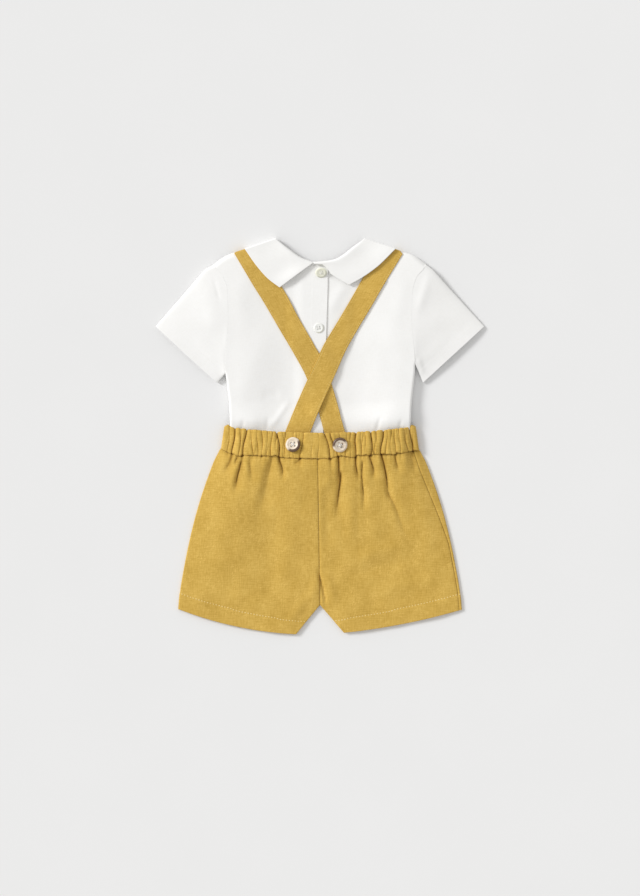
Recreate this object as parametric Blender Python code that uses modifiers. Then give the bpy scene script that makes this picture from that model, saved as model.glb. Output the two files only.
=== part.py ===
"""A baby's suspender shorts set: a short-sleeved shirt that buttons down the back and shorts with two
crossed straps, laid flat on a table with its back up.

Sizes are in millimetres and become metres in open_sheet and lay_button. X runs across the set, Y from the
hem of the shorts to the neck, Z up from the table. Every piece of cloth is a wall: an open sheet through
the middle of the cloth, thickened both ways. The pieces lie on each other in this order, from the table
up: front collar, front straps, front of the shirt, back of the shirt, back straps, back collar. At the
waist the order is: front of the waistband, front straps' ends, the shirt's two layers, back straps' ends,
back of the waistband.
"""
import math

import bmesh
import bpy
from mathutils import Matrix, Vector

MM = 0.001

# Thickness of each cloth, and the air between pieces
POPLIN = 1.0
LINEN = 1.2
BAND = 1.4
STRAP = 1.3
COLLAR = 1.2
SEAM = 0.35

# Shirt
SHIRT_HALF = 116.0
NECK_HALF = 47.0
BACK_NECK_Y = 190.0
BACK_NECK_RISE = 23.4
FRONT_NECK_Y = 160.0
FRONT_NECK_RISE = 53.4
UNDERARM_Y = {-1: 68.0, 1: 79.0}
TAIL = 18.0  # how far the shirt reaches into the shorts, below the waistband
PLACKET_TOP_X, PLACKET_FOOT_X = 8.6, 3.4
UNDERLAP_X = -8.0
SHIRT_BUTTON_R, SHIRT_BUTTON_T = 5.3, 1.9
SHIRT_BUTTONS = {"shirt_button_top": (0.3, 178.0), "shirt_button_low": (-1.4, 118.5)}

# Straps
STRAP_HALF = 12.4
SHOULDER_FOLD = {"x": 47.0, "y": 214.4, "slope": 0.335}  # the line over which straps and collar turn

# Shorts
CROTCH_Y = -186.0
CROTCH_AT = 0.80  # share of the inner edge above the crotch
CENTRE_SEAM_X = -2.5
HEM_IN_X, HEM_IN_Y = 26.5, -217.9
HEM_OUT_X, HEM_OUT_Y = 154.2, -189.8
HEM_SAG = 5.2
BAND_TOP_HALF, BAND_FOOT_HALF = 104.6, 108.4
STRAP_BUTTON_R, STRAP_BUTTON_T = 9.0, 2.8
STRAP_BUTTONS = {"strap_button_left": (-29.4, -9.6), "strap_button_right": (21.7, -9.6)}

# Heights of the lower face of each layer
FRONT_BAND_LIFT = 3.35
TAIL_LIFT = 1.9
CHEST, UPPER_CHEST = 3.4, 5.0
WAIST_SIDE, WAIST_MIDDLE = 4.95, 6.5
TAIL_BACK = 3.5
BAND_SIDE, BAND_MIDDLE, BAND_CENTRE = 7.3, 2.7, 1.25
BACK_GATHER, FRONT_GATHER, SCALLOP = 2.1, 1.5, 0.8
SIDE_EDGE, INSEAM_EDGE = 1.9, 1.65


def table(columns, *rows):
    """A list of rows, each a dictionary with the named columns."""
    names = columns.split()
    return [dict(zip(names, row)) for row in rows]


BODY_SIDE = table("y half",
    (-60, 93), (-20, 95.5), (0, 98), (34, 99.5), (60, 102.5), (74, 104), (90, 103.7), (103, 102.6),
    (130, 100.6), (158, 101.6), (174, 106), (186, 115), (192, SHIRT_HALF), (230, SHIRT_HALF))
SHOULDER = table("x y",
    (47, 213.8), (70, 206.1), (84, 201.3), (94.3, 197.9), (97, 201), (101, 198.9), (106, 194.8),
    (113, 188.5), (118, 185))
SHORTS_SIDE = table("y half",
    (-15, 107), (-28, 113.8), (-45, 121), (-67, 128.9), (-86, 134.9), (-110, 141.1), (-142, 147.9),
    (-174, 153.2), (-190, HEM_OUT_X))
SIDE_SEAM = table("y inset",
    (-15, 6), (-37, 8.5), (-58, 7.5), (-81, 5.5), (-103, 3), (-122, 1.2), (-190, 1.2))

LEFT_STRAP = table("y x",
    (-20, 24), (4.4, 16.3), (30, 9.3), (53, 2), (74, -5.5), (92, -14.5), (126, -34.5), (159, -54),
    (208.6, -84))
RIGHT_STRAP = table("y x",
    (-20, -33), (4.4, -24), (33, -12.5), (62, 0.6), (102, 19.6), (140, 42.9), (174, 63), (208, 82.3))
FRONT_STRAP = table("y x", (-17, 50), (0, 50.5), (40, 53), (90, 58.5), (140, 66.5), (180, 76), (206, 84))

LEFT_COLLAR = table("neck_x neck_y edge_x edge_y",
    (-6.9, 190.6, -44.3, 162.9), (-20, 195.6, -57, 172.5), (-34.3, 204.9, -70.2, 186.8),
    (-47, 214.4, -81.7, 202.8))
RIGHT_COLLAR = table("neck_x neck_y edge_x edge_y",
    (7.2, 190.6, 32.5, 165.8), (22.9, 197.4, 48, 174.9), (34.8, 205.6, 63.5, 185.6),
    (47, 214.4, 81.7, 202.8))
FRONT_COLLAR = table("neck_x neck_y edge_x edge_y",
    (47, 214.4, 81.7, 202.8), (48, 203, 81, 184), (44, 188, 74, 163), (34, 174.5, 57, 144),
    (18, 166.5, 31, 129), (0.5, 164, 0.5, 124))

# Creases of the gathered waistband's back: where each starts at the top edge and ends at the bottom edge
BACK_CREASES = table("top foot depth",
    (-99, -101.6, 0.6), (-92.7, -95.9, 1), (-87.2, -88.8, 0.5), (-81.2, -84.9, 1), (-74.3, -73.4, 0.5),
    (-68.4, -68.4, 0.4), (-62.9, -63.6, 0.5), (-57.7, -58.6, 0.4), (-52.3, -53.4, 0.6), (-47, -44.8, 1),
    (-40.4, -38.5, 0.4), (-33.8, -32.2, 0.3), (-25.1, -25.9, 0.3), (-18.1, -21.2, 0.7),
    (-8.3, -8.6, 0.25), (-1.6, -1.6, 0.35), (5.2, 11.5, 0.9), (12.1, 19.3, 0.8), (21.2, 23.6, 0.3),
    (29.1, 28.3, 0.5), (33.8, 33, 0.4), (40.1, 38.8, 1), (45.1, 44.8, 0.5), (49.8, 49.2, 0.4),
    (56.1, 56.1, 0.9), (61.3, 60.5, 0.5), (68.7, 66.5, 1), (73.4, 73.1, 0.5), (77.8, 78.1, 0.4),
    (82.2, 82.8, 0.5), (86.9, 88, 0.5), (91.6, 96.3, 0.7), (98.4, 101.2, 1))
FRONT_CREASE_COUNT = 28

# Folds that run down from the waistband over the back of the shorts: where each starts and ends, its
# half-width at the start and at the end, and its share of the puff
FOLDS = table("x y end_x end_y wide end_wide depth",
    (-97, -18, -104, -44, 3.2, 5, 0.6), (-87, -20, -93, -62, 4, 6, 1), (-74, -22, -77, -50, 4, 6, 0.6),
    (-52, -24, -67, -86, 5, 10, 0.9), (-44, -24, -41, -47, 3, 4.5, 1), (-22, -25, -27, -36, 3, 4.5, 0.6),
    (21, -25, 21, -76, 3.4, 5, 1), (39, -24, 42, -50, 3.2, 4.5, 0.8), (47, -28, 47, -72, 2.8, 4, 0.6),
    (54, -22, 58, -44, 3.2, 4.5, 0.8), (67, -20, 77, -72, 3.6, 5.5, 1), (77, -70, 99, -122, 5, 8, 0.7),
    (82, -18, 91, -48, 3.2, 5, 0.8))


# ---- small mathematics

def smooth(t):
    """0 below 0, 1 above 1, and a soft step between."""
    t = min(max(t, 0.0), 1.0)
    return t * t * (3 - 2 * t)


def plateau(distance, flat, fall):
    """1 up to flat, then down to 0 over fall."""
    return 1 - smooth((distance - flat) / fall)


def dome(distance, reach):
    """0 at an edge, rising as a quarter of an ellipse to 1 at reach."""
    t = min(max(distance / reach, 0.0), 1.0)
    return math.sqrt(1 - (1 - t) ** 2)


def mix(a, b, t):
    return a + (b - a) * t


def read(rows, key, value, at):
    """The named value of a table at a key, on a smooth curve through its rows."""
    last = len(rows) - 1
    sign = 1 if rows[-1][key] > rows[0][key] else -1
    i = 0
    while i < last - 1 and (at - rows[i + 1][key]) * sign > 0:
        i += 1
    a, b = rows[i], rows[i + 1]
    span = b[key] - a[key]
    t = min(max((at - a[key]) / span, 0.0), 1.0)

    def slope(first, second):
        return (second[value] - first[value]) / (second[key] - first[key])

    def slope_at(n):
        """Between the slopes on its two sides, and flat at a turning point, so the curve never overshoots."""
        if n in (0, last):
            return slope(rows[max(n - 1, 0)], rows[min(n + 1, last)])
        one, two = slope(rows[n - 1], rows[n]), slope(rows[n], rows[n + 1])
        return 2 * one * two / (one + two) if one * two > 0 else 0.0

    slope_a, slope_b = slope_at(i) * span, slope_at(i + 1) * span
    return ((2 * t ** 3 - 3 * t ** 2 + 1) * a[value] + (t ** 3 - 2 * t ** 2 + t) * slope_a
            + (3 * t ** 2 - 2 * t ** 3) * b[value] + (t ** 3 - t ** 2) * slope_b)


def spaced(count):
    """count + 1 shares from 0 to 1."""
    return [i / count for i in range(count + 1)]


# ---- outlines

def band_top(x):
    return 2.6 + 7.4 * (x / BAND_TOP_HALF) ** 2


def band_foot(x):
    return -25.3 + 10.0 * (x / BAND_FOOT_HALF) ** 2


def below_band(x, y):
    return band_foot(x) - y


def body_half(y):
    return read(BODY_SIDE, "y", "half", y)


def shirt_top(x, neck_y, neck_rise, power):
    """The upper edge of a shirt panel: the neckline, then the shoulder."""
    x = abs(x)
    if x < NECK_HALF:
        return neck_y + neck_rise * (x / NECK_HALF) ** power
    return read(SHOULDER, "x", "y", x)


def strap_x(rows, y):
    return read(rows, "y", "x", y)


def strap_distance(rows, x, y):
    """How far a point is from the middle line of a strap, measured square to it."""
    slope = (strap_x(rows, y + 2) - strap_x(rows, y - 2)) / 4
    return abs(x - strap_x(rows, y)) / math.hypot(1, slope)


# ---- heights

def front_strap_cover(x, y):
    return plateau(strap_distance(FRONT_STRAP, abs(x), y), STRAP_HALF + 9, 12)


def front_collar_cover(x, y, wider=0.0):
    return plateau(math.hypot(x / 84, (y - 205) / 83), 1.12 + wider, 0.15 + wider)


def at_waist(x, y):
    """1 where the waistband holds the shirt, 0 on the chest and at the foot of the tail."""
    return plateau(y - band_top(x), 10, 24) * plateau(below_band(x, y), 1.5, TAIL - 4)


def front_height(x, y):
    """Lower face of the shirt's front."""
    strap = (STRAP + SEAM) * front_strap_cover(x, y)
    chest = (COLLAR + SEAM) * front_collar_cover(x, y, 0.2) + strap
    rest = chest if y > -5 else TAIL_LIFT
    return mix(rest, FRONT_BAND_LIFT + strap, at_waist(x, y))


def back_height(x, y):
    """Lower face of the shirt's back, before the button side lies over the other."""
    chest = mix(CHEST, UPPER_CHEST, smooth((y - 58) / 50))
    waist = mix(WAIST_SIDE, WAIST_MIDDLE, plateau(abs(x), 73, 25))
    return mix(chest if y > -5 else TAIL_BACK, waist, at_waist(x, y))


def back_edge_height(x, y, top_y):
    """The back's lower face, brought down on the front at the side seam, the shoulder and the neck."""
    on_front = front_height(x, y) + POPLIN + SEAM + 0.15
    underarm = UNDERARM_Y[-1 if x < 0 else 1]
    side = mix(1, dome(body_half(y) - abs(x), 14), plateau(y, underarm - 8, 12))
    top = dome(top_y - y, 8)
    return mix(on_front, back_height(x, y), side * top)


def placket_lift(x, wider=0.0):
    """How far the button side rises to lie over the other."""
    return (POPLIN + SEAM + 0.15) * plateau(abs(x), 18 + wider, 13)


def strap_support(x, y):
    """Lower face of a back strap that lies on the shirt."""
    return back_height(x, y) + POPLIN + SEAM + placket_lift(x, 9)


def crossing_lift(x, y):
    """The right strap lies over the left one where they cross."""
    over = plateau(strap_distance(LEFT_STRAP, x, y), STRAP_HALF + 10, 14)
    return (STRAP + SEAM) * over * smooth((y - 5) / 11) * plateau(y, 118, 24)


def collar_support(x, y):
    """Lower face of the collar's back, over the shirt and the strap under it."""
    rows = LEFT_STRAP if x < 0 else RIGHT_STRAP
    over = plateau(strap_distance(rows, x, y), STRAP_HALF + 9, 14)
    return back_height(x, y) + POPLIN + SEAM + placket_lift(x, 6) + (STRAP + SEAM) * over


def band_height(x):
    """Lower face of the waistband's back in its deepest creases."""
    return BAND_SIDE + BAND_MIDDLE * plateau(abs(x), 50, 48) + BAND_CENTRE * plateau(abs(x), 20, 16)


def fold_depth(x, y):
    """The share of the puff that the folds take away at a point of the shorts' back."""
    depth = 0.0
    for fold in FOLDS:
        dx, dy = fold["end_x"] - fold["x"], fold["end_y"] - fold["y"]
        length = math.hypot(dx, dy)
        along = ((x - fold["x"]) * dx + (y - fold["y"]) * dy) / length ** 2
        aside = ((x - fold["x"]) * dy - (y - fold["y"]) * dx) / length
        wide = mix(fold["wide"], fold["end_wide"], min(max(along, 0), 1))
        fade = smooth((along + 0.15) / 0.15) * plateau(along, 0.55, 0.6)
        depth += fold["depth"] * fade * math.exp(-(aside / wide) ** 2)
    return min(depth, 1.0)


# The height of the shorts' back by how far below the waistband it is: a share of the band's own height,
# a height to add, and the height of the cloth between two folds above the bottom of a fold
SHORTS_HEIGHT = table("below of_band more puff",
    (0, 1, 0, 1.2), (25, 0.62, 1.6, 2.6), (50, 0.3, 2.7, 2.3), (90, 0.1, 3.0, 1.4), (150, 0.03, 2.2, 0.6),
    (200, 0, 1.8, 0.3))


def shorts_height(x, y):
    """Lower face of the shorts' back, away from its edges."""
    below = max(below_band(x, y), 0)
    of_band, more, puff = [read(SHORTS_HEIGHT, "below", name, below) for name in ("of_band", "more", "puff")]
    return band_height(x) * of_band + more + puff * (1 - fold_depth(x, y))


# ---- building

def material(name, colour, roughness):
    made = bpy.data.materials.new(name)
    made.use_nodes = True
    shader = made.node_tree.nodes["Principled BSDF"]
    shader.inputs["Base Color"].default_value = (*colour, 1)
    shader.inputs["Roughness"].default_value = roughness
    shader.inputs["Metallic"].default_value = 0.0
    return made


def open_sheet(name, grid, thickness, cloth, closed=False):
    """A wall of cloth through a grid of points in millimetres. A closed grid's first and last columns join."""
    tall, wide = len(grid), len(grid[0])
    shape = bmesh.new()
    bmesh.ops.create_grid(shape, x_segments=wide - 1, y_segments=tall - 1, size=1)
    shape.verts.ensure_lookup_table()
    for i, vert in enumerate(shape.verts):
        vert.co = Vector(grid[i // wide][i % wide]) * MM
    if closed:
        bmesh.ops.remove_doubles(shape, verts=shape.verts, dist=0.01 * MM)
    mesh = bpy.data.meshes.new(name)
    shape.to_mesh(mesh)
    shape.free()
    mesh.shade_smooth()
    mesh.set_sharp_from_angle(angle=math.radians(50))
    mesh.materials.append(cloth)
    made = bpy.data.objects.new(name, mesh)
    GARMENT.objects.link(made)
    wall = made.modifiers.new("wall", "SOLIDIFY")
    wall.thickness = thickness * MM
    wall.offset = 0
    wall.use_even_offset = True
    return made


def shirt_panel(name, start_x, end_x, columns, rows, neck, height, cloth):
    """A shirt panel between two upright edges, from its hidden hem to the neck and shoulder."""
    grid = []
    for v in rows:
        line = []
        for u in columns:
            top_x = mix(start_x(200), end_x(200), u)
            top_y = shirt_top(top_x, *neck)
            hem_y = band_foot(top_x) - TAIL
            y = mix(hem_y, top_y, v)
            x = mix(start_x(y), end_x(y), u)
            line.append((x, y, height(x, y, top_y) + POPLIN / 2))
        grid.append(line)
    return open_sheet(name, grid, POPLIN, cloth)


def make_shirt(cloth):
    across = [0, 0.012, 0.045, 0.1, 0.154, 0.176, 0.235, 0.32, 0.41, 0.5, 0.59, 0.68, 0.77, 0.85, 0.925, 1]
    up = [0, 0.03, 0.075, 0.12, 0.17, 0.24, 0.34, 0.45, 0.56, 0.66, 0.75, 0.84, 0.9, 0.945, 0.98, 1]
    back_neck = (BACK_NECK_Y, BACK_NECK_RISE, 1.8)
    front_neck = (FRONT_NECK_Y, FRONT_NECK_RISE, 2.2)

    def placket_x(y):
        return mix(PLACKET_FOOT_X, PLACKET_TOP_X, min(max(y / 165, 0), 1))

    def over_height(x, y, top_y):
        return back_edge_height(x, y, top_y) + placket_lift(min(x, 0))

    shirt_panel("shirt_back_left", lambda y: -body_half(y), placket_x, across, up, back_neck,
                over_height, cloth)
    shirt_panel("shirt_back_right", body_half, lambda y: UNDERLAP_X, across, up, back_neck,
                back_edge_height, cloth)
    half = [0, 0.025, 0.082, 0.095, 0.14, 0.19, 0.24, 0.29, 0.34, 0.42]
    front_across = half + [0.5] + [1 - u for u in reversed(half)]
    front_up = up[:1] + up[2:]
    shirt_panel("shirt_front", lambda y: -body_half(y), body_half, front_across, front_up, front_neck,
                lambda x, y, top: front_height(x, y), cloth)


def make_sleeve(side, cloth):
    """A short sleeve as a flattened tube, from the armhole to the cuff."""
    tip, cuff_low = (182.0 * side, 120.0), (113.0 * side, 58.8)
    steps = [0, 0.06, 0.18, 0.36, 0.58, 0.8, 1]
    around = 24
    grid = []
    for s in steps:
        line = []
        for k in range(around + 1):
            angle = 2 * math.pi * k / around
            down = 0.5 - 0.5 * math.cos(angle)
            arm_y = mix(186, UNDERARM_Y[side] + 1.5, down)
            arm_x = side * (body_half(arm_y) + SEAM + 0.55)
            x = mix(arm_x, mix(tip[0], cuff_low[0], down), s)
            y = mix(arm_y, mix(tip[1], cuff_low[1], down), s)
            low = mix(front_height(arm_x, arm_y), 0, smooth(s / 0.35)) + POPLIN / 2
            high = mix(back_height(arm_x, arm_y), 2.4, smooth(s / 1.1)) + POPLIN / 2
            fullness = abs(math.sin(angle)) ** 0.4 * (1 if angle <= math.pi else -1)
            line.append((x, y, (high + low) / 2 + fullness * (high - low) / 2))
        grid.append(line)
    return open_sheet("sleeve_left" if side < 0 else "sleeve_right", grid, POPLIN, cloth, closed=True)


def fold_normal(side):
    """The direction, seen from above, in which the cloth turns over the shoulder."""
    slope = SHOULDER_FOLD["slope"]
    return Vector((side * slope, 1)).normalized()


def turned(point, side, high, low, angle):
    """A point of the shoulder's fold line, carried round the fold: 0 on top, pi underneath."""
    out = fold_normal(side) * math.sin(angle) * (high - low) / 2
    return (point[0] + out.x, point[1] + out.y, (high + low) / 2 + math.cos(angle) * (high - low) / 2)


WRAP = [math.pi * i / 5 for i in range(1, 5)]


def make_collar(side, cloth):
    """Half of the flat collar: its pointed back, its turn over the shoulder, and its front."""
    back = LEFT_COLLAR if side < 0 else RIGHT_COLLAR
    across = spaced(5)
    steps = 9
    grid = []

    def section(rows, at):
        numbered = [{**row, "n": n} for n, row in enumerate(rows)]
        return [read(numbered, "n", name, at) for name in ("neck_x", "neck_y", "edge_x", "edge_y")]

    for i in range(steps + 1):
        neck_x, neck_y, edge_x, edge_y = section(back, (len(back) - 1) * i / steps)
        line = []
        for v in across:
            x, y = mix(neck_x, edge_x, v), mix(neck_y, edge_y, v)
            line.append((x, y, collar_support(x, y) + COLLAR / 2))
        grid.append(line)
    fold = grid[-1]
    for angle in WRAP:
        grid.append([turned(point, side, point[2], COLLAR / 2, angle) for point in fold])
    for i in range(steps + 1):
        neck_x, neck_y, edge_x, edge_y = section(FRONT_COLLAR, (len(FRONT_COLLAR) - 1) * i / steps)
        grid.append([(side * mix(neck_x, edge_x, v), mix(neck_y, edge_y, v), COLLAR / 2) for v in across])
    return open_sheet("collar_left" if side < 0 else "collar_right", grid, COLLAR, cloth)


def make_strap(side, cloth):
    """A strap from inside the back of the waistband, over the shoulder, to inside the front of it."""
    rows = LEFT_STRAP if side < 0 else RIGHT_STRAP
    across = [-1, -0.33, 0.33, 1]

    def fold_y(x):
        return SHOULDER_FOLD["y"] - SHOULDER_FOLD["slope"] * (abs(x) - SHOULDER_FOLD["x"])

    def on_strap(path, y, share, mirror=1):
        """A point of the strap: share runs from one edge to the other, square to the middle line."""
        slope = (strap_x(path, y + 2) - strap_x(path, y - 2)) / 4
        square = Vector((1, -slope)).normalized() * STRAP_HALF * share
        return mirror * (strap_x(path, y) + square.x), y + square.y

    def back_point(y, share):
        x, y = on_strap(rows, y, share)
        lift = crossing_lift(x, y) if side > 0 else 0
        return x, y, strap_support(x, y) + lift + STRAP / 2

    def on_fold(share):
        """Where a line along the strap meets the shoulder's fold."""
        y = 200.0
        for _ in range(12):
            point = on_strap(rows, y, share)
            y += 0.85 * (fold_y(point[0]) - point[1])
        return on_strap(rows, y, share)

    grid = [[back_point(mix(-20, 176, i / 21), share) for share in across] for i in range(22)]
    fold = []
    for share in across:
        x, y = on_fold(share)
        fold.append((x, y, strap_support(x, y) + STRAP / 2))
    last = grid[-1]
    for t in (0.35, 0.7, 1):
        line = []
        for start, end in zip(last, fold):
            x, y = mix(start[0], end[0], t), mix(start[1], end[1], t)
            line.append((x, y, strap_support(x, y) + STRAP / 2))
        grid.append(line)
    low = COLLAR + SEAM + STRAP / 2
    for angle in WRAP:
        grid.append([turned(point, side, point[2], low, angle) for point in fold])
    grid.append([(x, y, low) for x, y, _ in fold])
    front_rows = 17
    for i in range(1, front_rows + 1):
        y = mix(184, -16, i / front_rows)
        line = []
        for share in across:
            x, point_y = on_strap(FRONT_STRAP, y, share * side, side)
            chest = (COLLAR + SEAM) * front_collar_cover(x, point_y)
            waist = FRONT_BAND_LIFT * plateau(point_y - band_top(x), 8, 20)
            line.append((x, point_y, max(chest, waist) + STRAP / 2))
        grid.append(line)
    return open_sheet("strap_left" if side < 0 else "strap_right", grid, STRAP, cloth)


def crease_columns(creases, shoulders):
    """Columns of a gathered band: each crease, its shoulders, and the top of the ridge between two creases.
    Each is (x at the top edge, x at the bottom edge, share of the gathers' height)."""
    columns = []
    for i, crease in enumerate(creases):
        if i:
            before = creases[i - 1]
            columns.append(((before["top"] + crease["top"]) / 2, (before["foot"] + crease["foot"]) / 2, 1.0))
        others = [other for other in creases if other is not crease]
        gap_top = min([abs(crease["top"] - other["top"]) for other in others] + [5.0])
        gap_foot = min([abs(crease["foot"] - other["foot"]) for other in others] + [5.0])
        height = 1 - crease["depth"]
        for share in (-0.28, 0, 0.28) if shoulders else (0,):
            rise = 0.7 if share else 0
            top, foot = crease["top"] + share * gap_top, crease["foot"] + share * gap_foot
            columns.append((top, foot, mix(height, 1, rise)))
    return columns


BAND_ROLL = table("up drop", (0, 0.9), (0.16, 0), (0.84, 0), (1, 0.9))


def make_band(back, cloth):
    """Half of the elasticated waistband, gathered, with its ends rolled towards the other half."""
    if back:
        creases = BACK_CREASES
    else:
        spots = [mix(-96, 96, i / (FRONT_CREASE_COUNT - 1)) for i in range(FRONT_CREASE_COUNT)]
        depths = [0.75 + 0.25 * math.sin(3.7 * n) for n in range(FRONT_CREASE_COUNT)]
        creases = [{"top": x, "foot": x * 1.03, "depth": depth} for x, depth in zip(spots, depths)]
    columns = crease_columns(creases, back)
    middle = [(*column, None) for column in columns]
    ends = []
    for roll in (0.0, 0.35, 0.7, 1.0):
        ends.append((BAND_TOP_HALF - 3.2 * (1 - math.sin(roll * math.pi / 2)),
                     BAND_FOOT_HALF - 3.2 * (1 - math.sin(roll * math.pi / 2)), 0.7, roll))
    left = [(-top, -foot, share, roll) for top, foot, share, roll in reversed(ends)]
    grid = []
    for row in BAND_ROLL:
        line = []
        for top, foot, share, roll in left + middle + ends:
            x = mix(foot, top, row["up"])
            y = mix(band_foot(foot) + SEAM, band_top(top) + SCALLOP * (share - 0.5), row["up"])
            if back:
                z = band_height(x) + share * BACK_GATHER - row["drop"] * share + BAND / 2
            else:
                z = (1 - share) * FRONT_GATHER + BAND / 2 + 0.04
            if roll is not None:
                meet = 4.4 + BAND / 2 if back else 3.0
                z = mix(z, meet, 1 - math.cos(roll * math.pi / 2))
            line.append((x, y, z))
        grid.append(line)
    return open_sheet("waistband_back" if back else "waistband_front", grid, BAND, cloth)


def leg_plan(side, u, v):
    """A point of a leg seen from above: u from the middle to the side, v from the waistband to the hem."""
    def inner(t):
        if t < CROTCH_AT:
            y = mix(band_foot(0), CROTCH_Y, t / CROTCH_AT)
            seam = CENTRE_SEAM_X * (1 - t / CROTCH_AT)
            return Vector((seam + side * SEAM / 2, y))
        s = (t - CROTCH_AT) / (1 - CROTCH_AT)
        return Vector((side * mix(SEAM / 2, HEM_IN_X, s), mix(CROTCH_Y, HEM_IN_Y, s)))

    def outer(t):
        y = mix(band_foot(BAND_FOOT_HALF), HEM_OUT_Y, t)
        return Vector((side * read(SHORTS_SIDE, "y", "half", y), y))

    def waist(t):
        x = mix(inner(0).x, outer(0).x, t)
        return Vector((x, band_foot(x)))

    def hem(t):
        sag = HEM_SAG * 4 * t * (1 - t)
        return inner(1).lerp(outer(1), t) - Vector((0, sag))

    corners = inner(0).lerp(outer(0), u) * (1 - v) + inner(1).lerp(outer(1), u) * v
    return inner(v).lerp(outer(v), u) + waist(u) * (1 - v) + hem(u) * v - corners


def leg_point(side, v, place, share):
    """A point of the cloth round a leg: on its back, round the fold at its side, or on its front."""
    width = (leg_plan(side, 1, v) - leg_plan(side, 0, v)).length
    low = LINEN / 2

    def back_z(u):
        at = leg_plan(side, u, v)
        rise = dome((1 - u) * width, mix(24, 42, smooth(v / 0.3)))
        open_leg = smooth((v - CROTCH_AT + 0.03) / 0.05)
        inseam = mix(1, dome(u * width, 22), open_leg)
        edge = mix(SIDE_EDGE, INSEAM_EDGE, 1 - rise)
        return mix(edge, shorts_height(*at), rise * inseam) + LINEN / 2

    if place == "back":
        at = leg_plan(side, share, v)
        return (at.x, at.y, back_z(share))
    if place == "front":
        at = leg_plan(side, share, v)
        return (at.x, at.y, low)
    at = leg_plan(side, 1, v)
    high = back_z(1)
    reach = (high - low) / 2
    return (at.x + side * reach * math.sin(share), at.y, (high + low) / 2 + reach * math.cos(share))


def make_leg(side, cloth):
    """The back and front panels of a leg. At the right the side seam shows from the back, at the left it is under."""
    rows = [0, 0.035, 0.08, 0.135, 0.2, 0.28, 0.37, 0.48, 0.6, 0.7, 0.77, 0.8, 0.84, 0.92, 1]
    label = "left" if side < 0 else "right"
    turn = [math.pi * i / 4 for i in range(1, 4)]

    def inset(v, more=0.0):
        y = leg_plan(side, 1, v).y
        width = (leg_plan(side, 1, v) - leg_plan(side, 0, v)).length
        return 1 - (read(SIDE_SEAM, "y", "inset", y) + more) / width

    back_us = [0, 0.02, 0.06] + [mix(0.06, 0.93, (i + 1) / 21) for i in range(21)]
    front_us = [0, 0.05, 0.2, 0.4, 0.6, 0.8, 0.88]
    back_grid, front_grid = [], []
    for v in rows:
        back = [leg_point(side, v, "back", u) for u in back_us]
        front = [leg_point(side, v, "front", u) for u in front_us]
        if side < 0:
            back += [leg_point(side, v, "back", u) for u in (0.965, 0.985, 1)]
            back += [leg_point(side, v, "side", angle) for angle in turn]
            back += [leg_point(side, v, "front", 1), leg_point(side, v, "front", inset(v))]
            front += [leg_point(side, v, "front", inset(v, SEAM + 0.05))]
        else:
            edge = inset(v, SEAM + 0.05)
            back = [leg_point(side, v, "back", u * edge / 0.93) for u in back_us]
            front += [leg_point(side, v, "front", u) for u in (0.94, 1)]
            front += [leg_point(side, v, "side", math.pi - angle) for angle in turn]
            front += [leg_point(side, v, "back", 1), leg_point(side, v, "back", inset(v))]
        back_grid.append(back)
        front_grid.append(front)
    open_sheet("shorts_back_" + label, back_grid, LINEN, cloth)
    open_sheet("shorts_front_" + label, front_grid, LINEN, cloth)


def lay_button(name, x, y, height, radius, thickness, sides, tilt, finish):
    """A round button with a raised rim and four holes, turned from its profile and then drilled."""
    rim, dish = radius * 0.2, thickness * 0.3
    profile = [(0, thickness - dish), (radius - 1.6 * rim, thickness - dish), (radius - rim, thickness),
               (radius - 0.35 * rim, thickness), (radius, thickness * 0.6), (radius, thickness * 0.35),
               (radius - rim, 0), (0, 0)]
    shape = bmesh.new()
    verts = [shape.verts.new((px * MM, 0, pz * MM)) for px, pz in profile]
    for a, b in zip(verts, verts[1:]):
        shape.edges.new((a, b))
    mesh = bpy.data.meshes.new(name)
    shape.to_mesh(mesh)
    shape.free()
    made = bpy.data.objects.new(name, mesh)
    GARMENT.objects.link(made)
    turn = made.modifiers.new("turn", "SCREW")
    turn.steps = turn.render_steps = sides
    turn.use_merge_vertices = True
    turn.merge_threshold = 0.00001
    made.location = Vector((x, y, height)) * MM
    made.rotation_euler = tilt
    hole = radius * 0.14
    drill = bmesh.new()
    for i in range(4):
        angle = math.pi / 4 + i * math.pi / 2
        spot = Matrix.Translation(Vector((math.cos(angle), math.sin(angle), 0)) * radius * 0.3 * MM)
        bmesh.ops.create_cone(drill, cap_ends=True, segments=6, radius1=hole * MM, radius2=hole * MM,
                              depth=4 * thickness * MM, matrix=spot)
    drill_mesh = bpy.data.meshes.new(name + "_drill")
    drill.to_mesh(drill_mesh)
    drill.free()
    cutter = bpy.data.objects.new(name + "_drill", drill_mesh)
    cutter.location, cutter.rotation_euler = made.location, tilt
    cutter.hide_render = True
    cutter.display_type = "WIRE"
    CUTTERS.objects.link(cutter)
    holes = made.modifiers.new("holes", "BOOLEAN")
    holes.operation = "DIFFERENCE"
    holes.object = cutter
    mesh.materials.append(finish)
    mesh.shade_smooth()
    return made


def make_buttons(shell, wood):
    for name, (x, y) in SHIRT_BUTTONS.items():
        height = back_height(x, y) + placket_lift(x) + POPLIN + 0.4
        lay_button(name, x, y, height, SHIRT_BUTTON_R, SHIRT_BUTTON_T, 16, (0, 0, 0.2), shell)
    for name, (x, y) in STRAP_BUTTONS.items():
        height = band_height(x) + BACK_GATHER + BAND + 1.2
        lean = math.radians(3)
        lay_button(name, x, y, height, STRAP_BUTTON_R, STRAP_BUTTON_T, 24, (-lean, lean, 0.1), wood)


def collection(name):
    made = bpy.data.collections.new(name)
    bpy.context.scene.collection.children.link(made)
    return made


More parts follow.
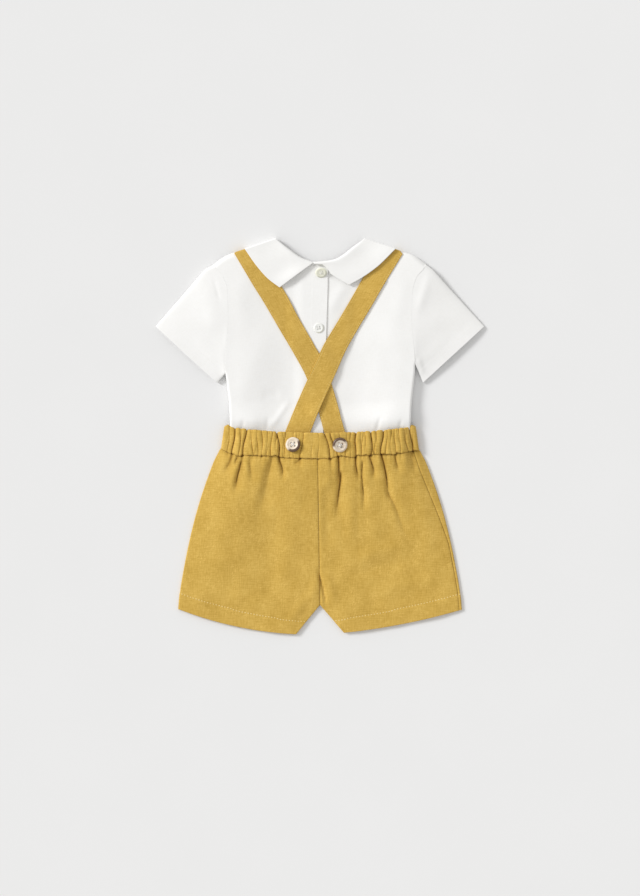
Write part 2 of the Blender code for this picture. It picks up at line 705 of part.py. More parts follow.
for old in list(bpy.data.objects):
    bpy.data.objects.remove(old)
GARMENT = collection("suspender_shorts_set")
CUTTERS = collection("cutters")
WHITE_POPLIN = material("white_poplin", (0.9, 0.9, 0.88), 0.85)
MUSTARD_LINEN = material("mustard_linen", (0.6, 0.4, 0.1), 0.9)
SHELL = material("shell_button", (0.85, 0.84, 0.78), 0.3)
HORN = material("horn_button", (0.62, 0.52, 0.42), 0.4)

make_shirt(WHITE_POPLIN)
for which in (-1, 1):
    make_sleeve(which, WHITE_POPLIN)
    make_collar(which, WHITE_POPLIN)
    make_leg(which, MUSTARD_LINEN)
    make_strap(which, MUSTARD_LINEN)
make_band(True, MUSTARD_LINEN)
make_band(False, MUSTARD_LINEN)
make_buttons(SHELL, HORN)
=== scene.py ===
"""The finished look of a baby's suspender shorts set: a white short-sleeved shirt that buttons down the
back and mustard shorts with two crossed straps, laid flat on a table with its back up.

Lengths are in millimetres and become metres as objects and materials are made. X runs across the set, Y from
the hem of the shorts to the neck, Z up from the table. Each piece of cloth is a grid of points through its
middle, given two faces that meet in rounded edges. Each also carries where its points are on the flat cloth,
which the woven materials follow.
"""
import math

import bpy
import numpy as np
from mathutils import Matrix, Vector


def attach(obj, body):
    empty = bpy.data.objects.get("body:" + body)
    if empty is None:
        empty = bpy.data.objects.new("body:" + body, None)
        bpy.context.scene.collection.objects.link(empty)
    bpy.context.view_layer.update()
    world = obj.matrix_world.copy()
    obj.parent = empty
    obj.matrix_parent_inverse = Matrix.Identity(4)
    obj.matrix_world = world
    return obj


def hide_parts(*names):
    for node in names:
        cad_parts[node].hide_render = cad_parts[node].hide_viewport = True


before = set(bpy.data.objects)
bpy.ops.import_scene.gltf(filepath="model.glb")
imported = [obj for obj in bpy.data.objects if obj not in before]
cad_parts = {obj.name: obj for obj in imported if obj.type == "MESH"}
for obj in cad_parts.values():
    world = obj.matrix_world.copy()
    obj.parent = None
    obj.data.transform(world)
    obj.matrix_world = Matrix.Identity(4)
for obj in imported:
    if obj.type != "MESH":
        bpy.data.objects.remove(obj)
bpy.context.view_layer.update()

MM = 0.001
SIDES = {-1: "left", 1: "right"}

# Thickness of each cloth, and the air between pieces
POPLIN = 0.7
LINEN = 1.0
BAND = 1.2
STRAP = 1.0
COLLAR = 1.0
SEAM = 0.2

# Shirt
SHIRT_HALF = 116.0
NECK_HALF = 47.0
BACK_NECK = {"neck_y": 190.0, "neck_rise": 23.4, "power": 1.8}
FRONT_NECK = {"neck_y": 160.0, "neck_rise": 53.4, "power": 2.2}
LEFT_UNDERARM_Y, RIGHT_UNDERARM_Y = 68.0, 79.0
SHOULDER_Y = 200.0
# The tail starts at TAIL_Y and ends TAIL below the waistband
TAIL_Y, TAIL = -5.0, 18.0
BACK_WIDE, BACK_LONG = 120.0, 235.0
PLACKET_TOP_X, PLACKET_FOOT_X, PLACKET_CORNER = 8.6, 3.4, 6.5
PLACKET_WIDE, EDGE_STITCH = 17.6, 1.7
UNDERLAP_X = -8.0
SLEEVE_TOP, SLEEVE_HEM, SLEEVE_ROUND = 189.0, 13.0, 236.0
CUFF_TIP, CUFF_LOW = (180.6, 120.2), (113.6, 58.8)
COLLAR_WIDE, COLLAR_STITCH = 42.0, 3.4
FRONT_COLLAR_OVAL = {"y": 205.0, "half_x": 84.0, "half_y": 83.0}

# Straps, and how far the points across half of one are from its edge
SHOULDER_FOLD = {"x": 47.0, "y": 216.4, "slope": 0.335}
STRAP_HALF = 12.0
STRAP_ACROSS = np.array([0, 0.12, 0.3, 0.6, 1.0, 1.4, EDGE_STITCH, 2.0, 2.4, 3.2, 4.4, 6, 8, 10])

# Shorts
CROTCH_Y = -186.0
CROTCH_AT = 0.80
CENTRE_SEAM_X = -2.5
HEM_LEFT = {"in": (-26.5, -218.0), "out": (-154.4, -190.9), "sag": 5.4}
HEM_RIGHT = {"in": (26.5, -216.4), "out": (154.6, -191.4), "sag": 3.0}
HEM_DEPTH = 17.5
# The top of the shorts reaches this far up under the waistband
TUCK = 1.6
# Shares of a leg's width: the points close to a seam, and where the evenly spaced ones start
SEAM_POINTS = np.array([[0, 0.15, 0.4, 0.8, 1.4]]) / 60
EVEN_FROM = 2.2 / 60

# Waistband, whose edges rise from the middle to the ends. BAND_ROLL is how far in from an end it turns down
BAND_TOP_HALF, BAND_FOOT_HALF = 104.6, 108.4
BAND_TOP_Y, BAND_FOOT_Y = 2.6, -25.3
BAND_TOP_RISE, BAND_FOOT_RISE = 7.4, 10.0
BAND_DEPTH, BAND_ROLL = 28.0, 3.2
# Height at which each half's ends meet those of the other half
BACK_MEETS, FRONT_MEETS = 4.05, 3.85

# Buttons: their middles, and how far their threads go down through the cloth
SHIRT_BUTTONS = {"shirt_button_top": (1.2, 179.4), "shirt_button_low": (-1.5, 118.7)}
STRAP_BUTTONS = {"strap_button_left": (-29.4, -9.6), "strap_button_right": (21.7, -9.6)}
THREAD_REACH = 3.4
SHELL_THICK, HORN_THICK, HORN_RADIUS = 1.3, 3.2, 8.3
BUTTON_SIDES = 72

# Stitches: their pitch, length and radius
PLACKET_STITCH, SLEEVE_STITCH = (2.4, 1.5, 0.13), (2.4, 1.5, 0.11)
STRAP_STITCH, HEM_STITCH = (2.6, 1.7, 0.16), (3.3, 1.9, 0.5)

# The flat cut of each piece of cloth: width, length and, in square centimetres, area
CUTS = {
    "shirt_back_left": (128, 262, 272), "shirt_back_right": (127, 262, 270), "shirt_front": (235, 260, 480),
    "sleeve": (236, 76, 130), "collar": (46, 190, 70), "strap": (25, 440, 110),
    "shorts_back": (165, 205, 270), "shorts_front": (160, 205, 260), "waistband": (300, 29, 85)}

# Heights of the lower face of each layer
FRONT_BAND_LIFT = 3.35
TAIL_LIFT = 1.9
CHEST, UPPER_CHEST = 3.4, 5.0
WAIST_SIDE, WAIST_MIDDLE = 4.95, 6.5
TAIL_BACK = 3.5
BAND_SIDE, BAND_MIDDLE, BAND_CENTRE = 7.3, 2.7, 1.25
BACK_GATHER, FRONT_GATHER, SCALLOP = 3.9, 1.5, 2.2
BAND_END_DROP = 2.9
SIDE_EDGE, INSEAM_EDGE = 1.9, 1.65
# The shorts' cloth above this height is their back
BACK_FROM = 1.5

# Size of a material's noise square to the cloth, and how far away in it a cloth's inner face is
NOISE_DEPTH = 25
INNER_SHIFT = np.array([3, 5, 50])

# Light and camera
KEY_POWER, KEY_SPREAD, KEY_RAY = 2.25, 17, (0.786, -0.393, -0.477)
SKY_POWER, SKY_COLOUR = 0.665, (1.0, 0.995, 0.985, 1)
CAMERA_Y, CAMERA_Z, CAMERA_LENS = -13.2, 2740, 100


def table(columns, *rows):
    """Rows of numbers as named columns."""
    return {name: np.array([row[i] for row in rows], float) for i, name in enumerate(columns.split())}


BODY_SIDE = table("y half",
    (-60, 93), (-20, 95.5), (0, 98), (34, 99.5), (60, 102.5), (74, 104), (90, 103.7), (103, 102.6),
    (130, 100.6), (158, 101.6), (174, 106), (186, 115), (192, SHIRT_HALF), (230, SHIRT_HALF))
SHOULDER = table("x y",
    (47, 213.8), (70, 206.1), (84, 202.6), (93, 201.6), (101, 199), (107, 195.6), (113, 191.6),
    (118, 188))
# How far the empty shirt stands up beside its armholes and its sides
SWELL = table("y height",
    (-60, 0), (2, 0.4), (18, 4.4), (62, 4.2), (100, 3.2), (150, 3.0), (180, 2.2), (200, 1))
SHORTS_SIDE = table("y half",
    (-15, 108.4), (-28, 115), (-45, 121.6), (-67, 129.2), (-86, 134.9), (-110, 141), (-142, 147.7),
    (-174, 153), (-192, 154.6))
SIDE_SEAM = table("y inset",
    (-15, 6), (-37, 8.5), (-58, 7.5), (-81, 5.5), (-103, 3), (-122, 1.2), (-190, 1.2))

# A button's outline from the middle of its face to the middle of its back, as shares of its sizes
BUTTON_PROFILE = table("out up",
    (0, 0.8), (0.55, 0.808), (0.6, 0.86), (0.68, 0.97), (0.74, 1), (0.8, 0.98), (0.9, 0.84), (0.98, 0.6),
    (1, 0.4), (0.98, 0.25), (0.88, 0.06), (0.8, 0), (0, 0))

# The straps' middle lines and half-widths
LEFT_STRAP = table("y x half",
    (-20, 24, 11), (8.8, 14.7, 11), (28.6, 9.5, 11.1), (50, 2.8, 11.6), (70, -4.0, 12.2), (94.6, -17.2, 12.1),
    (127.6, -36.3, 12.3), (149.6, -48.4, 12.9), (172, -62.4, 12.8), (208.6, -84.6, 12.3))
RIGHT_STRAP = table("y x half",
    (-20, -34.6, 12.9), (3, -24.9, 12.9), (28.6, -14.6, 12.8), (56, -2.4, 12.8), (75, 6.3, 12.6),
    (94.6, 15.1, 12.3), (105.6, 21.1, 11.9), (127.6, 34.1, 11.6), (149.6, 47.1, 11.8), (171.6, 59.6, 11.9),
    (191.4, 71.6, 11.9), (208, 81.9, 11.8))
FRONT_STRAP = table("y x half",
    (-17, 50, 12), (0, 50.5, 12), (40, 53, 12), (90, 58.5, 12), (140, 66.5, 12), (180, 76, 12), (206, 84, 12))

LEFT_COLLAR = table("n neck_x neck_y edge_x edge_y",
    (0, -6.9, 190.4, -44.3, 162.9), (1, -20, 195.4, -57, 172.5), (2, -34.3, 205.2, -70.2, 187.4),
    (3, -48, 216.1, -82.2, 204.6))
RIGHT_COLLAR = table("n neck_x neck_y edge_x edge_y",
    (0, 1.5, 190.8, 32.2, 165.8), (0.5, 12.5, 192.4, 40.3, 170.2), (1, 22.9, 197, 48, 174.9),
    (2, 35, 206.2, 63.5, 186.2), (3, 48, 216.1, 82.2, 204.6))
# The right collar's end runs over the top button as a narrow roll, and then down to its tip
COLLAR_END = table("share x y",
    (0, -7.4, 190.9), (0.08, -6.6, 189), (0.2, 0, 188.8), (0.3, 5.4, 186), (0.42, 8.8, 182.4),
    (0.54, 11.3, 178.9), (0.76, 20.5, 172.7), (1, 32.2, 165.8))
FRONT_COLLAR = table("n neck_x neck_y edge_x edge_y",
    (0, 48, 216.1, 82.2, 204.6), (1, 48.5, 204, 81.5, 185), (2, 44, 188, 74, 163), (3, 34, 174.5, 57, 144),
    (4, 18, 166.5, 31, 129), (5, 0.5, 164, 0.5, 124))

# Creases of the gathered waistband's back: where each starts at the top edge and ends at the bottom edge,
# how deep it is, and to which side it leans
BACK_CREASES = table("top foot depth lean",
    (-99, -101.6, 0.6, 0.4), (-92.7, -95.9, 1, -0.5), (-87.2, -88.8, 0.5, 0.2), (-81.2, -84.9, 1, 0.6),
    (-74.3, -73.4, 0.5, -0.4), (-68.4, -68.4, 0.4, 0.3), (-62.9, -63.6, 0.5, -0.2), (-57.7, -58.6, 0.4, 0.5),
    (-52.3, -53.4, 0.6, -0.6), (-47, -44.8, 1, 0.7), (-40.4, -38.5, 0.4, 0.1), (-33.8, -32.2, 0.3, -0.3),
    (-25.1, -25.9, 0.3, 0.4), (-18.1, -21.2, 0.7, -0.5), (-8.3, -8.6, 0.2, 0.2), (-1.6, -1.6, 0.35, 0),
    (5.2, 11.5, 0.9, 0.6), (12.1, 19.3, 0.8, -0.5), (21.2, 23.6, 0.3, 0.3), (29.1, 28.3, 0.5, -0.2),
    (33.8, 33, 0.4, 0.4), (40.1, 38.8, 1, -0.6), (45.1, 44.8, 0.5, 0.3), (49.8, 49.2, 0.4, -0.1),
    (56.1, 56.1, 0.9, 0.5), (61.3, 60.5, 0.5, -0.4), (68.7, 66.5, 1, 0.6), (73.4, 73.1, 0.5, -0.3),
    (77.8, 78.1, 0.4, 0.2), (82.2, 82.8, 0.5, -0.5), (86.9, 88, 0.5, 0.4), (91.6, 96.3, 0.7, -0.4),
    (98.4, 101.2, 1, 0.5))
FRONT_CREASE_COUNT = 28
FINE_CREASE_COUNT = 27
SEAM_JOG = table("x y",
    (-108, 1), (-97, -2.2), (-87, -3), (-82.5, -1.5), (-66, 0.4), (-52.5, 1.2), (-48.4, 2.4), (-43, 0.3),
    (-18, 0.9), (9, 0.8), (15.5, 1.6), (20.4, 3.4), (28.6, 2.4), (38.2, 1), (41.5, 2.8), (54.7, 2.2),
    (66, 1.8), (82, 0.2), (100, 0.2), (108, -0.4))
# Where along the seam below the waistband painted shade darkens it in spots
SEAM_NOTCHES = (-86, -64, -44, -22, 10, 20, 39, 55, 70, 84, 102)

# Folds that run down from the waistband over the back of the shorts: where each starts and ends, its
# half-width at the start and at the end, its share of the puff, and how far its bottom is a sharp crease
FOLDS = table("x y end_x end_y wide end_wide depth sharp",
    (-97, -18, -104, -42, 2.6, 4.5, 0.6, 0.5), (-92, -19, -92, -34, 3, 3.4, 0.8, 0.6),
    (-88, -30, -93, -62, 3.2, 4.6, 1, 0.6), (-77, -22, -75, -50, 2.6, 4, 0.5, 0.4),
    (-52, -26, -68, -92, 5, 11, 0.8, 0.08), (-46, -19, -40, -47, 2.4, 3.2, 1, 0.7),
    (-22, -22, -27, -32, 2.4, 4, 0.7, 0.6), (19, -20, 22, -52, 2.8, 3.4, 1, 0.8),
    (21.5, -44, 19, -92, 3.2, 6, 0.95, 0.65), (39, -22, 42, -50, 2.4, 3.2, 0.8, 0.7),
    (46.5, -32, 47, -82, 2.2, 3.2, 0.75, 0.6), (54, -20, 59, -46, 2.4, 3.6, 0.8, 0.6),
    (67, -17, 76, -70, 2.6, 3.8, 1, 0.8), (76, -66, 98, -114, 3, 6, 0.7, 0.4),
    (80, -18, 88, -40, 2.4, 4, 0.7, 0.5), (98, -14, 104, -40, 2.4, 3.6, 0.5, 0.4))

# Soft creases of the shirt and of the shorts' legs: where each starts and ends, its half-width and its height
SHIRT_CREASES = table("x y end_x end_y wide height",
    (-86, 4, -84.5, 17, 2.4, -0.7), (-59, 4, -57, 20, 2.6, -0.5), (-72, 2, -71, 20, 5, 0.25),
    (-62, 44, -46, 46, 6, -0.45), (-53, 12, -35, 36, 3.4, 0.75), (61, 2, 66, 19, 2.2, -0.8),
    (73, 0, 75, 22, 5, 0.2), (87, 2, 89, 17, 2.2, -0.8), (28, 166, 11, 138, 7, 0.9),
    (-75, 60, -58, 118, 14, 0.4), (70, 55, 52, 110, 12, 0.4), (84, 130, 92, 170, 8, 0.25),
    (-84, 120, -92, 168, 9, 0.25), (119, 182, 109, 141, 5.5, 0.4), (108, 84, 113, 70, 3, 0.5),
    (-116, 172, -111, 152, 1.8, -0.35), (-126, 160, -118, 118, 9, 0.25), (115, 82, 138, 110, 7, 0.25),
    (-112, 76, -134, 108, 8, 0.25))
LEG_CREASES = table("x y end_x end_y wide height",
    (-60, -88, -52, -178, 14, -1.5), (-96, -60, -108, -150, 15, 1.3), (-27, -56, -34, -130, 11, 0.9),
    (-1, -150, 6, -184, 2.0, -2.4), (9, -150, 15, -182, 4.5, 0.9), (-6, -160, -9, -186, 4, 0.6),
    (9, -62, 9, -118, 7, -1.3), (32, -64, 34, -112, 6, 0.9), (62, -80, 54, -150, 11, 0.8),
    (96, -136, 40, -152, 8, -0.9), (90, -120, 45, -134, 7, 0.7), (-21, -30, -3, -37, 2, -0.7),
    (110, -60, 124, -120, 9, 0.7), (2, -34, 18, -31, 2.2, -0.5), (-10, -172, -32, -204, 6, 0.9),
    (-118, -172, -60, -186, 7, 0.6), (12, -44, 4, -58, 5, 0.6), (60, -168, 120, -160, 8, 0.6))

# The height of the shorts' back by how far below the waistband it is: a share of the band's own height,
# a height to add, and the height of the cloth between two folds above the bottom of a fold
SHORTS_HEIGHT = table("below of_band more puff",
    (0, 1, 0, 2.0), (12, 0.8, 0.8, 4.4), (25, 0.62, 1.2, 4.4), (50, 0.3, 2.2, 3.6), (90, 0.1, 2.8, 1.9),
    (150, 0.03, 2.2, 0.7), (200, 0, 1.8, 0.3))


# ---- small mathematics

def smooth(t):
    """0 below 0, 1 above 1, and a soft step between."""
    t = np.clip(t, 0, 1)
    return t * t * (3 - 2 * t)


def plateau(distance, flat, fall):
    """1 up to flat, then down to 0 over fall."""
    return 1 - smooth((distance - flat) / fall)


def dome(distance, reach):
    """0 at an edge, rising as a quarter of an ellipse to 1 at reach."""
    t = np.clip(distance / reach, 0, 1)
    return np.sqrt(1 - (1 - t) ** 2)


def bell(distance, wide):
    return np.exp(-(distance / wide) ** 2)


def mix(a, b, t):
    return a + (b - a) * t


def stack(*parts):
    """Coordinates, or single numbers, as one array of points."""
    return np.stack(np.broadcast_arrays(*parts), -1)


def split(points):
    """The coordinates of an array of points."""
    return np.moveaxis(points, -1, 0)


def read(rows, key, value, at):
    """The named value of a table at a key, on a smooth curve through its rows that never overshoots."""
    keys, values = rows[key], rows[value]
    if keys[0] > keys[-1]:
        keys, values = keys[::-1], values[::-1]
    span = np.diff(keys)
    steep = np.diff(values) / span
    turning = steep[:-1] * steep[1:] <= 0
    between = np.where(turning, 0, 2 * steep[:-1] * steep[1:] / np.where(turning, 1, steep[:-1] + steep[1:]))
    slope = np.concatenate((steep[:1], between, steep[-1:]))
    at = np.clip(at, keys[0], keys[-1])
    i = np.clip(np.searchsorted(keys, at) - 1, 0, len(span) - 1)
    t = (at - keys[i]) / span[i]
    return ((2 * t ** 3 - 3 * t ** 2 + 1) * values[i] + (t ** 3 - 2 * t ** 2 + t) * slope[i] * span[i]
            + (3 * t ** 2 - 2 * t ** 3) * values[i + 1] + (t ** 3 - t ** 2) * slope[i + 1] * span[i])


def uneven(x, y, size, seed, waves=12):
    """A smooth random field of about -1 to 1, with bumps about as wide as size."""
    chance = np.random.default_rng(seed)
    total = 0.0
    for _ in range(waves):
        angle, start = chance.uniform(0, 2 * math.pi, 2)
        pitch = 2 * size * chance.uniform(0.7, 1.6)
        total = total + np.sin((x * math.cos(angle) + y * math.sin(angle)) * 2 * math.pi / pitch + start)
    return total / math.sqrt(waves)


def steps(count, length, edge=1.2):
    """Shares from 0 to 1 in even steps, with finer ones beside both ends."""
    fine = np.array([0, 0.1, 0.28, 0.6]) * edge / length
    return np.concatenate((fine, np.linspace(edge / length, 1 - edge / length, count), 1 - fine[::-1]))


# ---- outlines

def band_top(x):
    return BAND_TOP_Y + BAND_TOP_RISE * (x / BAND_TOP_HALF) ** 2


def band_foot(x):
    return BAND_FOOT_Y + BAND_FOOT_RISE * (x / BAND_FOOT_HALF) ** 2


def seam_jog(x):
    """How the gathers pull the seam below the waistband up and down."""
    return read(SEAM_JOG, "x", "y", x) + 0.4 * uneven(x, 0 * x, 3.5, 72)


def below_band(x, y):
    return band_foot(x) + seam_jog(x) - y


def body_half(y, side):
    """How far a side of the shirt is from the middle. The right side hangs out a little below the arm."""
    return read(BODY_SIDE, "y", "half", y) + np.where(np.asarray(side) > 0, 0.9 * bell(y - 40, 40), 0)


def left_side(y):
    return -body_half(y, -1)


def right_side(y):
    return body_half(y, 1)


def underarm_y(x):
    return np.where(x < 0, LEFT_UNDERARM_Y, RIGHT_UNDERARM_Y)


def fold_y(x):
    """Where the collar and the straps are turned over at the shoulder."""
    return SHOULDER_FOLD["y"] - SHOULDER_FOLD["slope"] * (np.abs(x) - SHOULDER_FOLD["x"])


def shirt_top(x, neck_y, neck_rise, power):
    """The upper edge of a shirt panel: the neckline, then the shoulder."""
    x = np.abs(x)
    neckline = neck_y + neck_rise * (np.minimum(x, NECK_HALF) / NECK_HALF) ** power
    return np.where(x < NECK_HALF, neckline, read(SHOULDER, "x", "y", x))


def strap_x(rows, y):
    return read(rows, "y", "x", y)


def strap_slope(rows, y):
    return (strap_x(rows, y + 2) - strap_x(rows, y - 2)) / 4


def beside_strap(rows, x, y):
    """How far outside a strap's edge a point is, measured square to the strap."""
    return np.abs(x - strap_x(rows, y)) / np.hypot(1, strap_slope(rows, y)) - read(rows, "y", "half", y)


# ---- heights

def beside_line(x, y, start_x, start_y, end_x, end_y):
    """How far along a line a point is, as a share of its length, and how far beside it."""
    dx, dy = end_x - start_x, end_y - start_y
    length = math.hypot(dx, dy)
    along = ((x - start_x) * dx + (y - start_y) * dy) / length ** 2
    return along, ((x - start_x) * dy - (y - start_y) * dx) / length


def ridges(rows, x, y):
    """The height that a table of creases adds at a point."""
    total = 0.0
    for *line, wide, height in zip(*rows.values()):
        along, aside = beside_line(x, y, *line)
        bend = 0.12 * wide * np.sin(along * 4 + line[0])
        fade = smooth((along + 0.25) / 0.5) * smooth((1.25 - along) / 0.5)
        total = total + height * fade * bell(aside + bend, wide)
    return total


def front_strap_cover(x, y):
    return plateau(beside_strap(FRONT_STRAP, np.abs(x), y), 9, 12)


def front_collar_cover(x, y, wider=0.0):
    oval = FRONT_COLLAR_OVAL
    share = np.hypot(x / oval["half_x"], (y - oval["y"]) / oval["half_y"])
    return plateau(share, 1.12 + wider, 0.15 + wider)


def at_waist(x, y):
    """1 where the waistband holds the shirt, 0 on the chest and at the foot of the tail."""
    return plateau(y - band_top(x), 10, 24) * plateau(below_band(x, y), 1.5, TAIL - 4)


def front_height(x, y):
    """Lower face of the shirt's front."""
    strap = (STRAP + SEAM) * front_strap_cover(x, y)
    chest = (COLLAR + SEAM) * front_collar_cover(x, y, 0.2) + strap
    return mix(np.where(y > TAIL_Y, chest, TAIL_LIFT), FRONT_BAND_LIFT + strap, at_waist(x, y))


def on_front(x, y):
    """Lower face of the shirt's back where it is sewn down on the front."""
    return front_height(x, y) + POPLIN + 0.1


def back_height(x, y, level=False):
    """Lower face of the shirt's back, before the button side lies over the other. A level one doesn't come
    down towards the neck and the shoulders."""
    chest = mix(CHEST, UPPER_CHEST, smooth((y - 58) / 50))
    if not level:
        chest = mix(on_front(x, y), chest, smooth((shirt_top(x, **BACK_NECK) - y + 4) / 9))
    waist = mix(WAIST_SIDE, WAIST_MIDDLE, plateau(np.abs(x), 73, 25))
    crumple = ridges(SHIRT_CREASES, x, y) + 0.24 * uneven(x, y, 34, 3) + 0.05 * uneven(x, y, 13, 4)
    swell = read(SWELL, "y", "height", y) * smooth((np.abs(x) - 32) / 58)
    crumple = swell + np.maximum(crumple, -1.4) * smooth((y - band_top(x) + 4) / 10)
    return mix(np.where(y > TAIL_Y, chest, TAIL_BACK), waist, at_waist(x, y)) + crumple


def back_edge_height(x, y, top_y):
    """The back's lower face, brought down on the front at the side seam, the shoulder and the neck."""
    side = mix(1, dome(body_half(y, x) - np.abs(x), 1.4), plateau(y, underarm_y(x) - 8, 12))
    return mix(on_front(x, y), back_height(x, y), side * dome(top_y - y, 6))


def placket_lift(x, wider=0.0):
    """How far the button side rises to lie over the other."""
    return (POPLIN + SEAM + 0.15) * plateau(np.abs(x), 18 + wider, 13)


def strap_support(x, y):
    """Lower face of a back strap that lies on the shirt."""
    return back_height(x, y) + POPLIN + SEAM + placket_lift(x, 9)


def crossing_lift(x, y):
    """The right strap lies over the left one where they cross."""
    over = plateau(beside_strap(LEFT_STRAP, x, y), 4, 12)
    return (STRAP + SEAM) * over * smooth((y - 5) / 11) * plateau(y, 118, 24)


def collar_support(x, y):
    """Lower face of the collar's back, over the shirt and the strap under it."""
    return back_height(x, y, True) + POPLIN + SEAM + STRAP + SEAM


def band_height(x):
    """Lower face of the waistband's back in its deepest creases."""
    middle = BAND_MIDDLE * plateau(np.abs(x), 50, 48) + BAND_CENTRE * plateau(np.abs(x), 20, 16)
    return BAND_SIDE + middle - BAND_END_DROP * smooth((np.abs(x) - 88) / 14)


def fold_depth(x, y):
    """The share of the puff that the folds take away at a point of the shorts' back, and how near the point
    is to the sharp bottom of a fold."""
    depth, core = 0.0, 0.0
    for i, (*line, wide, end_wide, share, sharp) in enumerate(zip(*FOLDS.values())):
        along, aside = beside_line(x, y, *line)
        aside = aside + 0.8 * np.sin(along * 5 + i)
        wide = mix(wide, end_wide, np.clip(along, 0, 1)) * np.where(aside < 0, 1.45, 0.7)
        share = share * smooth((along + 0.15) / 0.15) * plateau(along, 0.55, 0.6)
        sharp = sharp * plateau(along, 0.3, 0.8)
        bottom = np.exp(-np.abs(aside / (0.26 * wide)) ** 1.3)
        depth = depth + share * mix(bell(aside, wide), bottom, sharp)
        core = core + share * sharp * bottom
    return np.minimum(depth, 1.0), np.minimum(1.5 * core, 1.0)


def puckers(x, y):
    """Short creases that the band's gathers press into the cloth just below it."""
    below = below_band(x, y)
    total = 0.0
    for _, foot, depth, lean in zip(*BACK_CREASES.values()):
        spot = foot * (1 + 0.0012 * below) + 1.5 * lean * smooth(below / 14)
        reach = 5 + 9 * depth
        total = total + depth * bell(x - spot, 1.3 + 0.09 * below) * np.exp(-np.maximum(below, 0) / reach)
    return np.minimum(total, 1.0)


def notch_shade(x, below):
    """Painted shade along the waistband's seam: dark spots where two gathers meet."""
    return 0.8 * sum(bell(x - at, 1.1) for at in SEAM_NOTCHES) * plateau(np.abs(below), 0.7, 1.6)


def shorts_height(x, y):
    """Lower face of the shorts' back, away from its edges."""
    below = np.maximum(below_band(x, y), 0)
    of_band, more, puff = [read(SHORTS_HEIGHT, "below", name, below) for name in ("of_band", "more", "puff")]
    height = band_height(x) * of_band + more + puff * (1 - fold_depth(x, y)[0])
    height = height - 2.0 * puckers(x, y)
    crumple = ridges(LEG_CREASES, x, y) + 0.32 * uneven(x, y, 30, 7) + 0.12 * uneven(x, y, 12, 8)
    return height - 0.9 * plateau(below, 0, 0.9) + crumple * smooth(below / 20)


def shorts_shade(x, y):
    """How much painted shade darkens a point of the shorts' colour, 0 to 1, deepest in their creases."""
    below, pucker = below_band(x, y), puckers(x, y)
    deep = 1.3 * fold_depth(x, y)[1] * plateau(below, 22, 70) + 0.7 * pucker ** 1.6
    deep = deep + 0.5 * np.clip(-ridges(LEG_CREASES, x, y) - 1.5, 0, 1)
    return np.clip(deep + (0.05 + 0.7 * pucker) * plateau(below, 0.1, 0.7) + notch_shade(x, below), 0, 1)


# ---- materials

def set_inputs(tree, made, inputs):
    """Sets a node's inputs, or links them to the outputs of others."""
    for name, value in inputs.items():
        if isinstance(value, bpy.types.NodeSocket):
            tree.links.new(value, made.inputs[name])
        else:
            made.inputs[name].default_value = value


def node(tree, kind, inputs, output=0, **settings):
    """Adds a shader node and returns one of its outputs."""
    made = tree.nodes.new("ShaderNode" + kind)
    for name, value in settings.items():
        setattr(made, name, value)
    set_inputs(tree, made, inputs)
    return made.outputs[output]


def ramp(tree, share, stops):
    """A colour for a share of 0 to 1, through the given (share, colour) stops."""
    made = tree.nodes.new("ShaderNodeValToRGB")
    tree.links.new(share, made.inputs["Fac"])
    marks = made.color_ramp.elements
    while len(marks) < len(stops):
        marks.new(0.5)
    for mark, (at, colour) in zip(marks, stops):
        mark.position = at
        mark.color = (*colour, 1)
    return made.outputs["Color"]


def noise(tree, place, sizes, detail, distortion=0.0):
    """Cloudy noise of 0 to 1, in blots as large as the sizes in millimetres."""
    settings = {"Vector": times(tree, place, [1 / (size * MM) for size in sizes]), "Scale": 1.0,
                "Detail": detail, "Distortion": distortion}
    return node(tree, "TexNoise", settings, "Fac")


def times(tree, vector, by):
    return node(tree, "VectorMath", {0: vector, 1: by}, operation="MULTIPLY")


def new_material(name):
    made = bpy.data.materials.new(name)
    made.use_nodes = True
    return made, made.node_tree, made.node_tree.nodes["Principled BSDF"]


